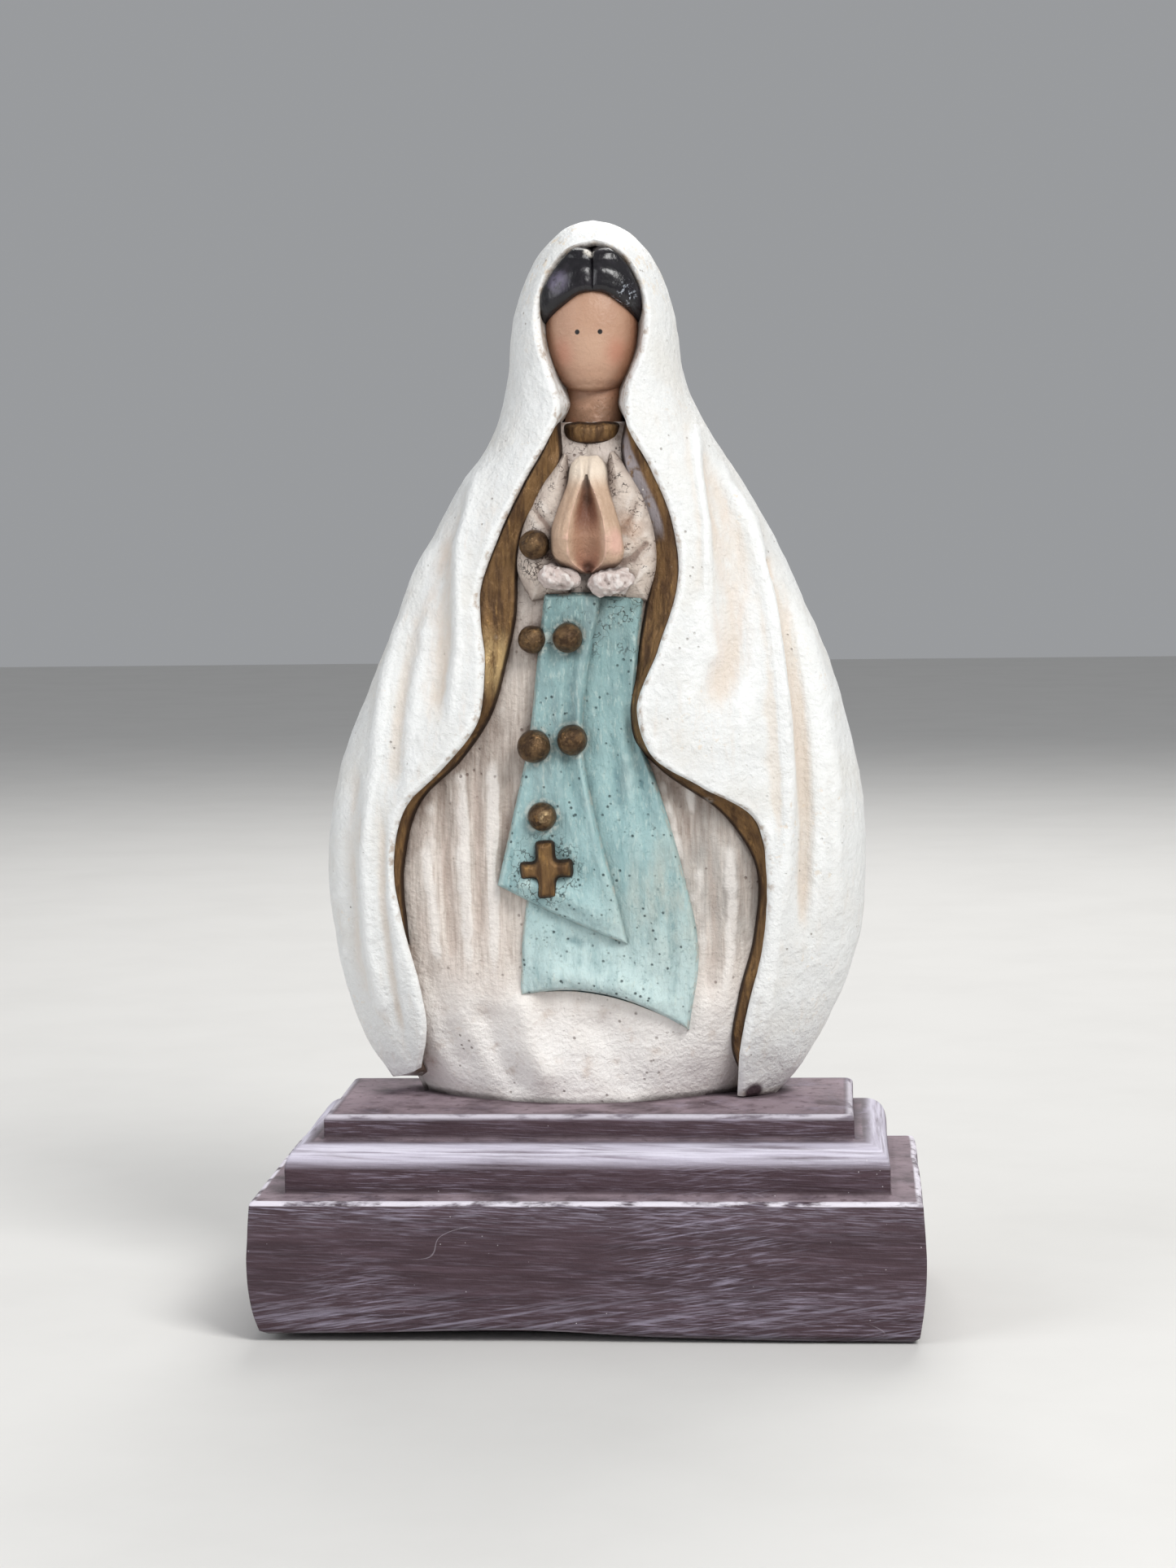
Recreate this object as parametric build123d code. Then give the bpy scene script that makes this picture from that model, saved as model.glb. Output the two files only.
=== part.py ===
from build123d import *
import math
import os

# Madonna figurine on a stepped plinth, in millimetres.
# +Z up, the figure faces -Y, origin at the centre of the plinth's underside.

# ---- driving dimensions: plinth ----
plinth_width = 78.0
plinth_depth = 42.4
block_height = 16.4
block_edge_round = 0.5
moulding_setback = 4.0
moulding_height = 5.8
moulding_flat = 2.8
moulding_round = 2.9
slab_width = 61.8
slab_depth = 26.2
slab_height = 2.9
slab_edge_round = 0.8
slab_top = block_height + moulding_height + slab_height

# ---- driving dimensions: figure ----
figure_y = 4.0
form_roundness = 2.2
core_roundness = 2.5
section_points = 16
front_reach = 30.0
opening_back = 1.0
lining_thickness = 1.7
sash_lower_thickness = 0.9
sash_upper_thickness = 1.7
sleeve_thickness = 1.7
collar_thickness = 1.1

# Outer form of the mantle: height, left, right, front, back.
mantle_rows = [
    (slab_top, -23.3, 22.0, -4.9, 12.6),
    (29.0, -26.3, 25.1, -6.4, 14.4),
    (36.0, -29.4, 29.1, -8.2, 16.2),
    (45.0, -31.4, 31.9, -9.6, 17.6),
    (53.0, -32.1, 32.6, -10.2, 18.2),
    (62.0, -31.0, 32.0, -10.2, 18.1),
    (72.0, -27.6, 29.9, -9.9, 17.6),
    (82.0, -23.2, 26.4, -9.4, 16.8),
    (91.0, -19.3, 22.2, -8.7, 15.8),
    (98.0, -15.5, 18.4, -7.8, 14.9),
    (104.0, -11.4, 14.6, -6.9, 14.2),
    (109.0, -9.7, 12.1, -6.0, 13.8),
    (116.0, -8.9, 10.8, -5.6, 13.5),
    (121.0, -7.9, 9.8, -5.2, 12.9),
    (125.0, -6.2, 8.0, -3.8, 11.3),
    (127.6, -3.8, 5.0, -1.2, 8.6),
    (129.1, -0.8, 1.6, 2.4, 5.2),
]

# Gown and body under the mantle: height, left, right, front, back.
gown_rows = [
    (slab_top, -21.0, 18.6, -4.6, 11.2),
    (32.0, -24.0, 21.6, -6.0, 12.6),
    (42.0, -26.4, 24.6, -7.0, 13.6),
    (53.0, -27.6, 25.6, -7.4, 14.2),
    (61.0, -26.0, 24.0, -7.1, 14.0),
    (68.0, -22.5, 19.5, -6.8, 13.5),
    (76.0, -18.5, 16.5, -6.6, 13.0),
    (84.0, -16.5, 16.2, -6.4, 12.4),
    (91.0, -14.6, 15.2, -6.0, 11.8),
    (98.0, -11.0, 12.8, -5.0, 11.0),
    (102.5, -7.8, 9.8, -3.6, 9.8),
    (105.4, -4.6, 6.4, -2.2, 7.6),
]

# Front edge of the mantle and hood, from the crown of the opening down each side.
opening_crown = (1.4, 125.9)
opening_left = [
    (-2.6, 124.0), (-4.8, 120.0), (-4.9, 115.0), (-3.6, 110.5), (-2.6, 107.0),
    (-4.0, 103.4), (-7.0, 98.0), (-10.3, 91.2), (-12.2, 86.0), (-11.7, 77.0),
    (-12.4, 71.0), (-15.9, 66.2), (-21.3, 61.0), (-23.0, 53.5), (-21.6, 44.0),
    (-19.7, 35.5), (-20.8, 29.0), (-20.8, 24.0),
]
opening_right = [
    (4.8, 124.0), (6.7, 120.0), (6.9, 115.5), (5.6, 110.5), (4.7, 107.0),
    (6.0, 103.3), (8.6, 98.6), (10.7, 92.0), (10.9, 87.0), (8.6, 79.0),
    (6.1, 71.6), (7.6, 66.8), (13.4, 62.8), (19.3, 59.2), (21.0, 52.5),
    (20.4, 43.0), (18.1, 34.8), (17.2, 29.0), (17.1, 24.0),
]

# Inner limit of the gilded lining on each side, from the throat down.
lining_left_inner = [
    (-2.9, 104.8), (-2.8, 99.6), (-5.6, 95.6), (-7.6, 91.0), (-7.7, 84.4),
    (-9.2, 77.6), (-11.2, 71.1), (-14.4, 66.4), (-20.0, 61.0), (-21.9, 53.5), (-20.6, 44.0),
]
lining_right_inner = [
    (4.6, 104.8), (4.4, 101.0), (6.2, 96.4), (7.9, 90.4), (6.9, 83.0),
    (5.2, 73.0), (5.6, 68.6), (8.6, 65.0), (16.2, 59.0), (19.5, 53.5),
    (19.3, 45.0), (17.0, 36.0), (16.2, 28.6),
]

# Sash panels: outlines as worn, seen from the front.
sash_lower_outline = [
    (6.9, 85.2), (6.4, 78.0), (5.5, 71.0), (8.3, 63.0), (10.9, 54.0), (12.7, 43.0), (11.6, 33.9),
    (4.6, 36.2), (-2.2, 37.6), (-8.2, 38.0), (-7.6, 47.0), (-5.6, 57.0), (-4.2, 70.0), (-4.0, 85.2),
]
sash_upper_outline = [
    (-4.8, 85.2), (-5.6, 78.0), (-6.9, 67.5), (-8.7, 59.5), (-10.6, 51.5),
    (-6.6, 49.7), (-0.5, 47.2), (4.8, 44.4), (3.4, 51.5), (1.2, 59.5),
    (-0.2, 67.5), (0.6, 76.0), (2.2, 85.2),
]

# Arms under the sleeves, from the shoulder to the wrist.
sleeve_left_outline = [
    (-2.4, 101.6), (-5.4, 98.0), (-7.6, 92.5), (-7.7, 87.0), (-4.8, 84.9),
    (-1.8, 85.8), (-1.4, 90.0), (-1.6, 96.0),
]
sleeve_right_outline = [
    (3.6, 101.8), (6.4, 98.4), (8.5, 92.5), (8.4, 87.2), (5.6, 84.9),
    (2.6, 85.6), (2.2, 90.0), (2.4, 96.0),
]

# ---- driving dimensions: head, hair, hands and applied ornaments ----
head_x = 0.75
head_y = 1.2
chin_z = 108.8
head_top = 124.6
head_radius = 5.75
neck_radius = 3.5
neck_foot = 99.0
hair_thickness = 0.9
hairline_side_z = 117.2
hairline_parting_z = 120.6
parting_x = 1.3
collar_centre = (0.8, 104.2)
collar_size = (7.2, 2.5)
hand_radii = (2.6, 2.9, 7.0)
hand_lean = 10.0
hand_offset = 1.9
hand_centre = (0.6, -8.4, 94.3)
hollow_radii = (1.4, 1.7, 4.4)
hollow_front = -11.8
cuff_left_centre = (-2.8, -7.9, 87.2)
cuff_right_centre = (3.6, -7.9, 86.7)
cuff_radii = (2.5, 2.0, 1.6)
beads = [
    (-5.7, -7.6, 91.2, 1.75, ("sleeve_left", "hand_left", "mantle_lining_left", "gown")),
    (-6.1, -7.7, 80.2, 1.65, ("sash_upper", "mantle_lining_left", "gown")),
    (-1.9, -8.6, 80.4, 1.75, ("sash_upper", "sash_lower", "gown")),
    (-6.0, -8.8, 67.8, 1.95, ("sash_upper", "sash_lower", "gown")),
    (-1.5, -8.9, 68.5, 1.8, ("sash_upper", "sash_lower", "gown")),
    (-5.1, -9.1, 59.6, 1.7, ("sash_upper", "sash_lower", "gown")),
]
cross_centre = (-4.7, 53.4)
cross_size = (6.2, 6.8)
cross_bar = 2.2
cross_front = -10.6
cross_back = -8.0
cross_round = 0.6
cross_tilt = 3.0
tip_gap_centre = (-29.0, 0.0, 25.6)
tip_gap_size = (20.0, 12.0, 4.0)
tip_gap_slope = 10.0
lining_reach = 40.0
dowel_radius = 2.0
dowel_foot = 13.0
dowel_top = 40.0


def superellipse(row, roundness):
    """Closed section of a form: one row of height, left, right, front and back."""
    height, left, right, front, back = row
    middle = (left + right) / 2
    half_width = (right - left) / 2
    points = []
    for step in range(section_points):
        angle = 2 * math.pi * step / section_points
        c = math.cos(angle)
        s = math.sin(angle)
        half_depth = back - figure_y if s > 0 else figure_y - front
        x = middle + half_width * math.copysign(abs(c) ** (2 / roundness), c)
        y = figure_y + half_depth * math.copysign(abs(s) ** (2 / roundness), s)
        points.append((x, y, height))
    return Face(Wire([Spline(*points, periodic=True)]))


def lofted_form(rows, roundness, grow=0.0):
    """Smooth body through the rows, grown outwards all round by the given amount."""
    sections = []
    for height, left, right, front, back in rows:
        grown = (height, left - grow, right + grow, front - grow, back + grow)
        sections.append(superellipse(grown, roundness))
    return loft(sections)


def panel(outline, near, far):
    """Closed outline of smooth sides that meet in corners, extruded in depth."""
    edges = [Spline(*[(x, 0, z) for x, z in side]) for side in outline]
    solid = extrude(Face(Wire(edges)), amount=far - near, dir=(0, 1, 0))
    return Pos(0, near, 0) * solid


def ellipsoid(radii, centre):
    """Egg-shaped body with its own three radii."""
    return Pos(*centre) * scale(Sphere(1.0), by=radii)


def fitted(shape, *neighbours):
    """The piece cut back to meet its neighbours face to face, without loose offcuts."""
    for name in neighbours:
        shape = shape - pieces[name]
    return shape.solids().sort_by(SortBy.VOLUME)[-1]


def relief(sides, thickness):
    """Low relief of the given thickness, following the front of the body."""
    return panel(sides, -front_reach, figure_y) & lofted_form(gown_rows, core_roundness, thickness)


def build_plinth():
    """Sawn block, moulding with a quarter-round top, and the slab the figure stands on."""
    block = Pos(0, 0, block_height / 2) * Box(plinth_width, plinth_depth, block_height)
    block = fillet(block.edges().filter_by(Axis.Z), block_edge_round)
    moulding_width = plinth_width - 2 * moulding_setback
    moulding_depth = plinth_depth - 2 * moulding_setback
    moulding_middle = block_height + moulding_height / 2
    moulding = Pos(0, 0, moulding_middle) * Box(moulding_width, moulding_depth, moulding_height)
    moulding = fillet(moulding.faces().sort_by(Axis.Z)[-1].edges(), moulding_round)
    slab = Pos(0, 0, slab_top - slab_height / 2) * Box(slab_width, slab_depth, slab_height)
    slab = fillet(slab.faces().sort_by(Axis.Z)[-1].edges(), slab_edge_round)
    return block + moulding + slab


def build_head():
    """Blank egg-shaped head on a round neck, with a tenon that enters the gown."""
    centre = (chin_z + head_top) / 2
    half = (head_top - chin_z) / 2
    egg = ellipsoid((head_radius, head_radius, half), (head_x, head_y, centre))
    neck_height = centre - neck_foot
    neck = Pos(head_x, head_y, neck_foot + neck_height / 2) * Cylinder(neck_radius, neck_height)
    return egg + neck


def build_hair(side):
    """One lobe of hair, from the parting down to the temple."""
    centre = (chin_z + head_top) / 2
    half = (head_top - chin_z) / 2 + hair_thickness
    radius = head_radius + hair_thickness
    cap = ellipsoid((radius, radius, half), (head_x, head_y, centre))
    edge_x = head_x + side * 2 * head_radius
    outline = [
        (parting_x, hairline_parting_z),
        (parting_x, head_top + 2 * hair_thickness),
        (edge_x, head_top + 2 * hair_thickness),
        (edge_x, hairline_side_z - 1.0),
        (head_x + side * head_radius * 0.92, hairline_side_z),
        (head_x + side * head_radius * 0.55, hairline_side_z + 1.4),
    ]
    face = Face(Wire.make_polygon([(x, 0, z) for x, z in outline], close=True))
    mask = Pos(0, -front_reach, 0) * extrude(face, amount=front_reach + figure_y, dir=(0, 1, 0))
    return cap & mask


def build_hand(side):
    """One palm of the joined hands, with half of the hollow between the palms."""
    x, y, z = hand_centre
    palm = Rot(0, -side * hand_lean, 0) * scale(Sphere(1.0), by=hand_radii)
    palm = Pos(x + side * hand_offset, y, z) * palm
    half_space = Pos(x + side * front_reach / 2, y, z) * Box(front_reach, front_reach, front_reach)
    hollow = ellipsoid(hollow_radii, (x, hollow_front, z))
    return (palm & half_space) - hollow


def build_cross():
    """Small pendant cross with softened ends."""
    width, height = cross_size
    depth = cross_back - cross_front
    middle = (cross_front + cross_back) / 2
    upright = Box(cross_bar, depth, height)
    arm = Box(width, depth, cross_bar)
    cross = upright + arm
    cross = fillet(cross.faces().sort_by(Axis.Y)[0].edges(), cross_round)
    return Pos(cross_centre[0], middle, cross_centre[1]) * Rot(0, cross_tilt, 0) * cross


os.makedirs("parts", exist_ok=True)
pieces = {}

mantle_form = lofted_form(mantle_rows, form_roundness)
gown_form = lofted_form(gown_rows, core_roundness)
opening_edge = [*reversed(opening_left), opening_crown, *opening_right]
opening_prism = panel([opening_edge, [opening_right[-1], opening_left[-1]]], -front_reach, opening_back)

# The pin stands in the plinth and enters the body from below.
dowel_height = dowel_top - dowel_foot
dowel = Cylinder(dowel_radius, dowel_height)
pieces["locating_dowel"] = Pos(0, figure_y, dowel_foot + dowel_height / 2) * dowel
pieces["plinth"] = fitted(build_plinth(), "locating_dowel")

# Head, hair and body.
pieces["head"] = build_head().solids()[0]
pieces["hair_left"] = fitted(build_hair(-1), "head")
pieces["hair_right"] = fitted(build_hair(1), "head")
pieces["gown"] = fitted(gown_form, "head", "locating_dowel")

# The cloak closes round the body; its left tip hangs just clear of the slab.
tip_gap = Pos(*tip_gap_centre) * Rot(0, tip_gap_slope, 0) * Box(*tip_gap_size)
cloak = mantle_form - opening_prism - tip_gap - gown_form
pieces["mantle"] = fitted(cloak, "head", "hair_left", "hair_right")

# Arms and neckband lie on the bodice.
for side, outline in (("left", sleeve_left_outline), ("right", sleeve_right_outline)):
    arm = relief([[*outline, outline[0]]], sleeve_thickness)
    pieces[f"sleeve_{side}"] = fitted(arm, "gown", "head")
band = Box(collar_size[0], front_reach, collar_size[1])
band = fillet(band.edges().filter_by(Axis.Y), collar_size[1] * 0.48)
band = Pos(collar_centre[0], -front_reach / 2, collar_centre[1]) * band
band = band & lofted_form(gown_rows, core_roundness, collar_thickness)
pieces["collar"] = fitted(band, "gown", "head", "sleeve_left", "sleeve_right")

# The lining shows as a strip inside each front edge of the cloak.
lining_sides = (("left", lining_left_inner, -lining_reach), ("right", lining_right_inner, lining_reach))
for side, inner, reach in lining_sides:
    foot = (reach, inner[-1][1])
    crest = (reach, inner[0][1])
    strip = relief([inner, [inner[-1], foot], [foot, crest], [crest, inner[0]]], lining_thickness)
    strip = strip & opening_prism
    pieces[f"mantle_lining_{side}"] = fitted(strip, "gown", "head", f"sleeve_{side}", "collar")

# Two sash panels hang from the waist, the shorter one in front.
lower_sides = [sash_lower_outline[:7], sash_lower_outline[6:10], sash_lower_outline[9:]]
lower_sides.append([sash_lower_outline[-1], sash_lower_outline[0]])
lower = relief(lower_sides, sash_lower_thickness)
pieces["sash_lower"] = fitted(lower, "gown", "sleeve_left", "sleeve_right", "mantle_lining_right")
upper_sides = [sash_upper_outline[:5], sash_upper_outline[4:8], sash_upper_outline[7:]]
upper_sides.append([sash_upper_outline[-1], sash_upper_outline[0]])
upper = relief(upper_sides, sash_upper_thickness)
pieces["sash_upper"] = fitted(upper, "gown", "sash_lower", "sleeve_left", "sleeve_right")

# Cuffs and joined hands stand in front of the bodice.
cuff_backing = ("sash_upper", "sash_lower", "sleeve_left", "sleeve_right", "gown")
pieces["cuff_left"] = fitted(ellipsoid(cuff_radii, cuff_left_centre), *cuff_backing)
pieces["cuff_right"] = fitted(ellipsoid(cuff_radii, cuff_right_centre), *cuff_backing)
hand_backing = ("cuff_left", "cuff_right", "sleeve_left", "sleeve_right", "gown")
pieces["hand_left"] = fitted(build_hand(-1), *hand_backing)
pieces["hand_right"] = fitted(build_hand(1), *hand_backing)

# The rosary: beads and a pendant cross.
for number, (x, y, z, radius, backing) in enumerate(beads, start=1):
    ball = Pos(x, y, z) * Rot(0, 90, 0) * Sphere(radius)
    pieces[f"rosary_bead_{number}"] = fitted(ball, *backing)
pieces["rosary_cross"] = fitted(build_cross(), "sash_upper", "sash_lower", "gown")

for name, piece in pieces.items():
    export_step(piece, f"parts/{name}.step")
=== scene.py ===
import math

import bmesh
import bpy
import numpy as np
from mathutils import Matrix, Vector


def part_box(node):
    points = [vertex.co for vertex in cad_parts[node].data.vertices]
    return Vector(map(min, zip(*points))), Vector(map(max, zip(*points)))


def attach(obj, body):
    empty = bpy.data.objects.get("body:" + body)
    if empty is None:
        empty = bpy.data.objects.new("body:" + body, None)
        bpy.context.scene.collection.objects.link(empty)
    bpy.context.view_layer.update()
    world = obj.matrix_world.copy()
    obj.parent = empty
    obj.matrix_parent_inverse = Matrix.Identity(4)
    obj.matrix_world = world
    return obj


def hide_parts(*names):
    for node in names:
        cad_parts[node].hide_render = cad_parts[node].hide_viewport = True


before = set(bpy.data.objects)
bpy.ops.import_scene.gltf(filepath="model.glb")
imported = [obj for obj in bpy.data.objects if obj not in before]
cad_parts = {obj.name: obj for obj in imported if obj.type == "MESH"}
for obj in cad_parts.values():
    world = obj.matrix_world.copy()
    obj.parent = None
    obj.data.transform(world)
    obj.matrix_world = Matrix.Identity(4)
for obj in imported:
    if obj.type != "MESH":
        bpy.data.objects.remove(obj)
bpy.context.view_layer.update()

# ---------------------------------------------------------------- plinth
# A sawn block, a moulding with a quarter-round top and a slab, in one piece.
# The sides of the block were rubbed by hand, so they bulge a little, and the underside
# is uneven along its front edge. The figure is glued and pinned to the slab.

MM = 0.001
plinth_low, plinth_high = [np.array(corner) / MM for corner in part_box("plinth")]
plinth_half = (plinth_high[:2] - plinth_low[:2]) / 2
slab_top = plinth_high[2]
block_top = 16.4
moulding_foot_inset = 4.0
moulding_flat_top = 19.3
quarter_round = 2.9
slab_inset = 8.1
slab_round = 0.75


def tint(red, green, blue):
    """A paint chart's 0 to 255 values as the linear colour that a shader takes."""
    return tuple(c / 3294.6 if c <= 10 else ((c / 255 + 0.055) / 1.055) ** 2.4 for c in (red, green, blue))


def curve_through(at, knots):
    """Smooth curve through given knots, one row per knot: place, then values."""
    table = np.array(knots, float)
    place, values = table[:, 0], table[:, 1:]
    slope = np.gradient(values, place, axis=0)
    at = np.clip(np.asarray(at, float), place[0], place[-1])
    left = np.clip(np.searchsorted(place, at, side="right") - 1, 0, len(place) - 2)
    span = place[left + 1] - place[left]
    t = ((at - place[left]) / span)[..., None]
    rise = values[left + 1] - values[left]
    start = slope[left] * span[..., None]
    end = slope[left + 1] * span[..., None]
    return values[left] + t * (start + t * (3 * rise - 2 * start - end + t * (start + end - 2 * rise)))


def lumps(points, size, seed):
    """Soft random unevenness between -1 and 1, with lumps of the given size in mm."""
    place = np.asarray(points, float) / size + seed * 7.31
    cell = np.floor(place)
    part = place - cell
    part = part * part * (3 - 2 * part)
    total = np.zeros(len(place))
    for corner in np.ndindex(2, 2, 2):
        spot = (cell + corner) @ np.array([127.1, 311.7, 74.7])
        value = np.modf(np.abs(np.sin(spot) * 43758.5453))[0] * 2 - 1
        weight = np.prod(np.where(corner, part, 1 - part), axis=1)
        total += value * weight
    return total


def grid_faces(rows, columns, closed=False):
    """Quads of a grid stored row by row; a closed grid joins its last column to its first."""
    count = columns if closed else columns - 1
    row, column = np.meshgrid(np.arange(rows - 1), np.arange(count), indexing="ij")
    after = (column + 1) % columns
    quads = [row * columns + column, row * columns + after, (row + 1) * columns + after, (row + 1) * columns + column]
    return np.stack(quads, axis=-1).reshape(-1, 4).tolist()


def find_hollows(mesh, spread):
    """Stores how far each point lies below (+) or above (-) its surroundings, in mm."""
    count = len(mesh.vertices)
    place = np.empty(count * 3, np.float32)
    normal = np.empty(count * 3, np.float32)
    ends = np.empty(len(mesh.edges) * 2, np.int32)
    mesh.vertices.foreach_get("co", place)
    mesh.vertices.foreach_get("normal", normal)
    mesh.edges.foreach_get("vertices", ends)
    place = place.reshape(-1, 3).astype(float) / MM
    ends = ends.reshape(-1, 2)
    near = np.bincount(ends.ravel(), minlength=count)[:, None]
    smooth = place.copy()
    for _ in range(spread):
        pull = np.zeros_like(smooth)
        for axis in range(3):
            pull[:, axis] += np.bincount(ends[:, 0], smooth[ends[:, 1], axis], count)
            pull[:, axis] += np.bincount(ends[:, 1], smooth[ends[:, 0], axis], count)
        smooth = pull / np.maximum(near, 1)
    depth = np.sum((smooth - place) * normal.reshape(-1, 3), axis=1)
    mesh.attributes.new("hollow", "FLOAT", "POINT").data.foreach_set("value", depth.astype(np.float32))


def make_piece(name, points, faces, masks=None, caps=(), spread=8):
    """A closed smooth-shaded piece from points in mm, with its painter's masks as attributes."""
    mesh = bpy.data.meshes.new(name)
    mesh.from_pydata((np.asarray(points) * MM).tolist(), [], list(faces) + [list(cap) for cap in caps])
    for mask, values in (masks or {}).items():
        layer = mesh.attributes.new(mask, "FLOAT", "POINT")
        layer.data.foreach_set("value", np.asarray(values, np.float32))
    work = bmesh.new()
    work.from_mesh(mesh)
    bmesh.ops.remove_doubles(work, verts=work.verts, dist=0.000001)
    bmesh.ops.dissolve_degenerate(work, edges=work.edges, dist=0.0000005)
    large = [face for face in work.faces if len(face.verts) > 4]
    bmesh.ops.triangulate(work, faces=large)
    bmesh.ops.recalc_face_normals(work, faces=work.faces)
    work.to_mesh(mesh)
    work.free()
    find_hollows(mesh, spread)
    mesh.polygons.foreach_set("use_smooth", [True] * len(mesh.polygons))
    mesh.set_sharp_from_angle(angle=math.radians(60))
    piece = bpy.data.objects.new(name, mesh)
    bpy.context.scene.collection.objects.link(piece)
    return piece


class Finish:
    """A painted finish, built up coat by coat in the order the painter lays them."""

    def __init__(self, name, base, roughness, specular=0.4):
        self.material = bpy.data.materials.new(name)
        self.material.use_nodes = True
        self.tree = self.material.node_tree
        self.shader = self.tree.nodes["Principled BSDF"]
        self.shader.inputs["Specular IOR Level"].default_value = specular
        self.colour = (*base, 1)
        self.roughness = roughness
        self.height = 0.0
        self.place = self.add("ShaderNodeTexCoord").outputs["Object"]

    def add(self, kind, **settings):
        node = self.tree.nodes.new(kind)
        for name, value in settings.items():
            setattr(node, name, value)
        return node

    def put(self, socket, value):
        if isinstance(value, bpy.types.NodeSocket):
            self.tree.links.new(value, socket)
        else:
            socket.default_value = value

    def ramp(self, value, low, high):
        node = self.add("ShaderNodeMapRange", interpolation_type="SMOOTHSTEP")
        for socket, number in zip(("Value", "From Min", "From Max"), (value, low, high)):
            self.put(node.inputs[socket], number)
        return node.outputs["Result"]

    def laid(self, stretch, turn, shift):
        node = self.add("ShaderNodeMapping", vector_type="TEXTURE")
        self.put(node.inputs["Vector"], self.place)
        node.inputs["Scale"].default_value = [1 / part for part in stretch]
        node.inputs["Rotation"].default_value = turn
        node.inputs["Location"].default_value = (shift, shift * 0.7, shift * 1.3)
        return node.outputs["Vector"]

    def noise(self, size, low, high, stretch=(1, 1, 1), turn=(0, 0, 0), detail=5, shift=0.0):
        """Blotches of the given size in mm, cut between two levels of the noise."""
        node = self.add("ShaderNodeTexNoise")
        self.put(node.inputs["Vector"], self.laid(stretch, turn, shift))
        node.inputs["Scale"].default_value = 1 / (size * MM)
        node.inputs["Detail"].default_value = detail
        node.inputs["Roughness"].default_value = 0.6
        return self.ramp(node.outputs["Fac"], low, high)

    def pits(self, size, wide, narrow, stretch=(1, 1, 1), shift=0.0):
        """Small pits or specks, about one for each size in mm, of radius wide fading in from narrow."""
        node = self.add("ShaderNodeTexVoronoi")
        self.put(node.inputs["Vector"], self.laid(stretch, (0.3, 0.2, 0.5), shift))
        node.inputs["Scale"].default_value = 1 / (size * MM)
        return self.ramp(node.outputs["Distance"], wide, narrow)

    def mask(self, name, low=0.0, high=1.0):
        """A mask stored with the piece."""
        return self.ramp(self.add("ShaderNodeAttribute", attribute_name=name).outputs["Fac"], low, high)

    def crevice_wash_and_shade(self, reach, low, high):
        """Where surfaces meet or a hollow is narrower than the reach in mm: painted shade there, together with the wash
        that such places hold.
        """
        node = self.add("ShaderNodeAmbientOcclusion", samples=6)
        node.inputs["Distance"].default_value = reach * MM
        return self.ramp(node.outputs["AO"], high, low)

    def level(self, low, high):
        """Fades in between two heights in mm."""
        split = self.add("ShaderNodeSeparateXYZ")
        self.put(split.inputs[0], self.place)
        return self.ramp(split.outputs["Z"], low * MM, high * MM)

    def spot(self, centre, near, far):
        """A round spot about a point in mm: full within near, gone at far."""
        node = self.add("ShaderNodeVectorMath", operation="DISTANCE")
        self.put(node.inputs[0], self.place)
        node.inputs[1].default_value = [value * MM for value in centre]
        return self.ramp(node.outputs["Value"], far * MM, near * MM)

    def scratches(self, size, width, stretch=(1, 1, 1), shift=0.0):
        """Thin wandering lines: where a noise of that size crosses its middle value."""
        node = self.add("ShaderNodeTexNoise")
        self.put(node.inputs["Vector"], self.laid(stretch, (0.2, 0.1, 0.3), shift))
        node.inputs["Scale"].default_value = 1 / (size * MM)
        node.inputs["Detail"].default_value = 2
        return self.ramp(self.sum("ABSOLUTE", self.sum("SUBTRACT", node.outputs["Fac"], 0.5)), width, width * 0.3)

    def sum(self, kind, *values):
        node = self.add("ShaderNodeMath", operation=kind)
        for socket, value in zip(node.inputs, values):
            self.put(socket, value)
        return node.outputs["Value"]

    def both(self, *masks):
        total = masks[0]
        for other in masks[1:]:
            total = self.sum("MULTIPLY", total, other)
        return total

    def either(self, *masks):
        total = masks[0]
        for other in masks[1:]:
            total = self.sum("MAXIMUM", total, other)
        return total

    def off(self, mask):
        return self.sum("SUBTRACT", 1.0, mask)

    def coat(self, colour, mask, strength=1.0, roughness=None):
        """A coat of colour where the mask lets it lie, with its own roughness if it differs."""
        share = self.sum("MULTIPLY", mask, strength)
        mix = self.add("ShaderNodeMix", data_type="RGBA")
        self.put(mix.inputs[0], share)
        self.put(mix.inputs[6], self.colour)
        mix.inputs[7].default_value = (*colour, 1)
        self.colour = mix.outputs[2]
        if roughness is not None:
            blend = self.add("ShaderNodeMix", data_type="FLOAT")
            self.put(blend.inputs[0], share)
            self.put(blend.inputs[2], self.roughness)
            blend.inputs[3].default_value = roughness
            self.roughness = blend.outputs[0]

    def raise_by(self, mask, height):
        """Lifts the surface by a height in mm where the mask lies; negative sinks it."""
        lift = self.sum("MULTIPLY", mask, height)
        self.height = lift if isinstance(self.height, float) else self.sum("ADD", self.height, lift)

    def done(self):
        self.put(self.shader.inputs["Base Color"], self.colour)
        self.put(self.shader.inputs["Roughness"], self.roughness)
        if not isinstance(self.height, float):
            bump = self.add("ShaderNodeBump")
            bump.inputs["Distance"].default_value = MM
            self.put(bump.inputs["Height"], self.height)
            self.put(self.shader.inputs["Normal"], bump.outputs["Normal"])
        return self.material


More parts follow.
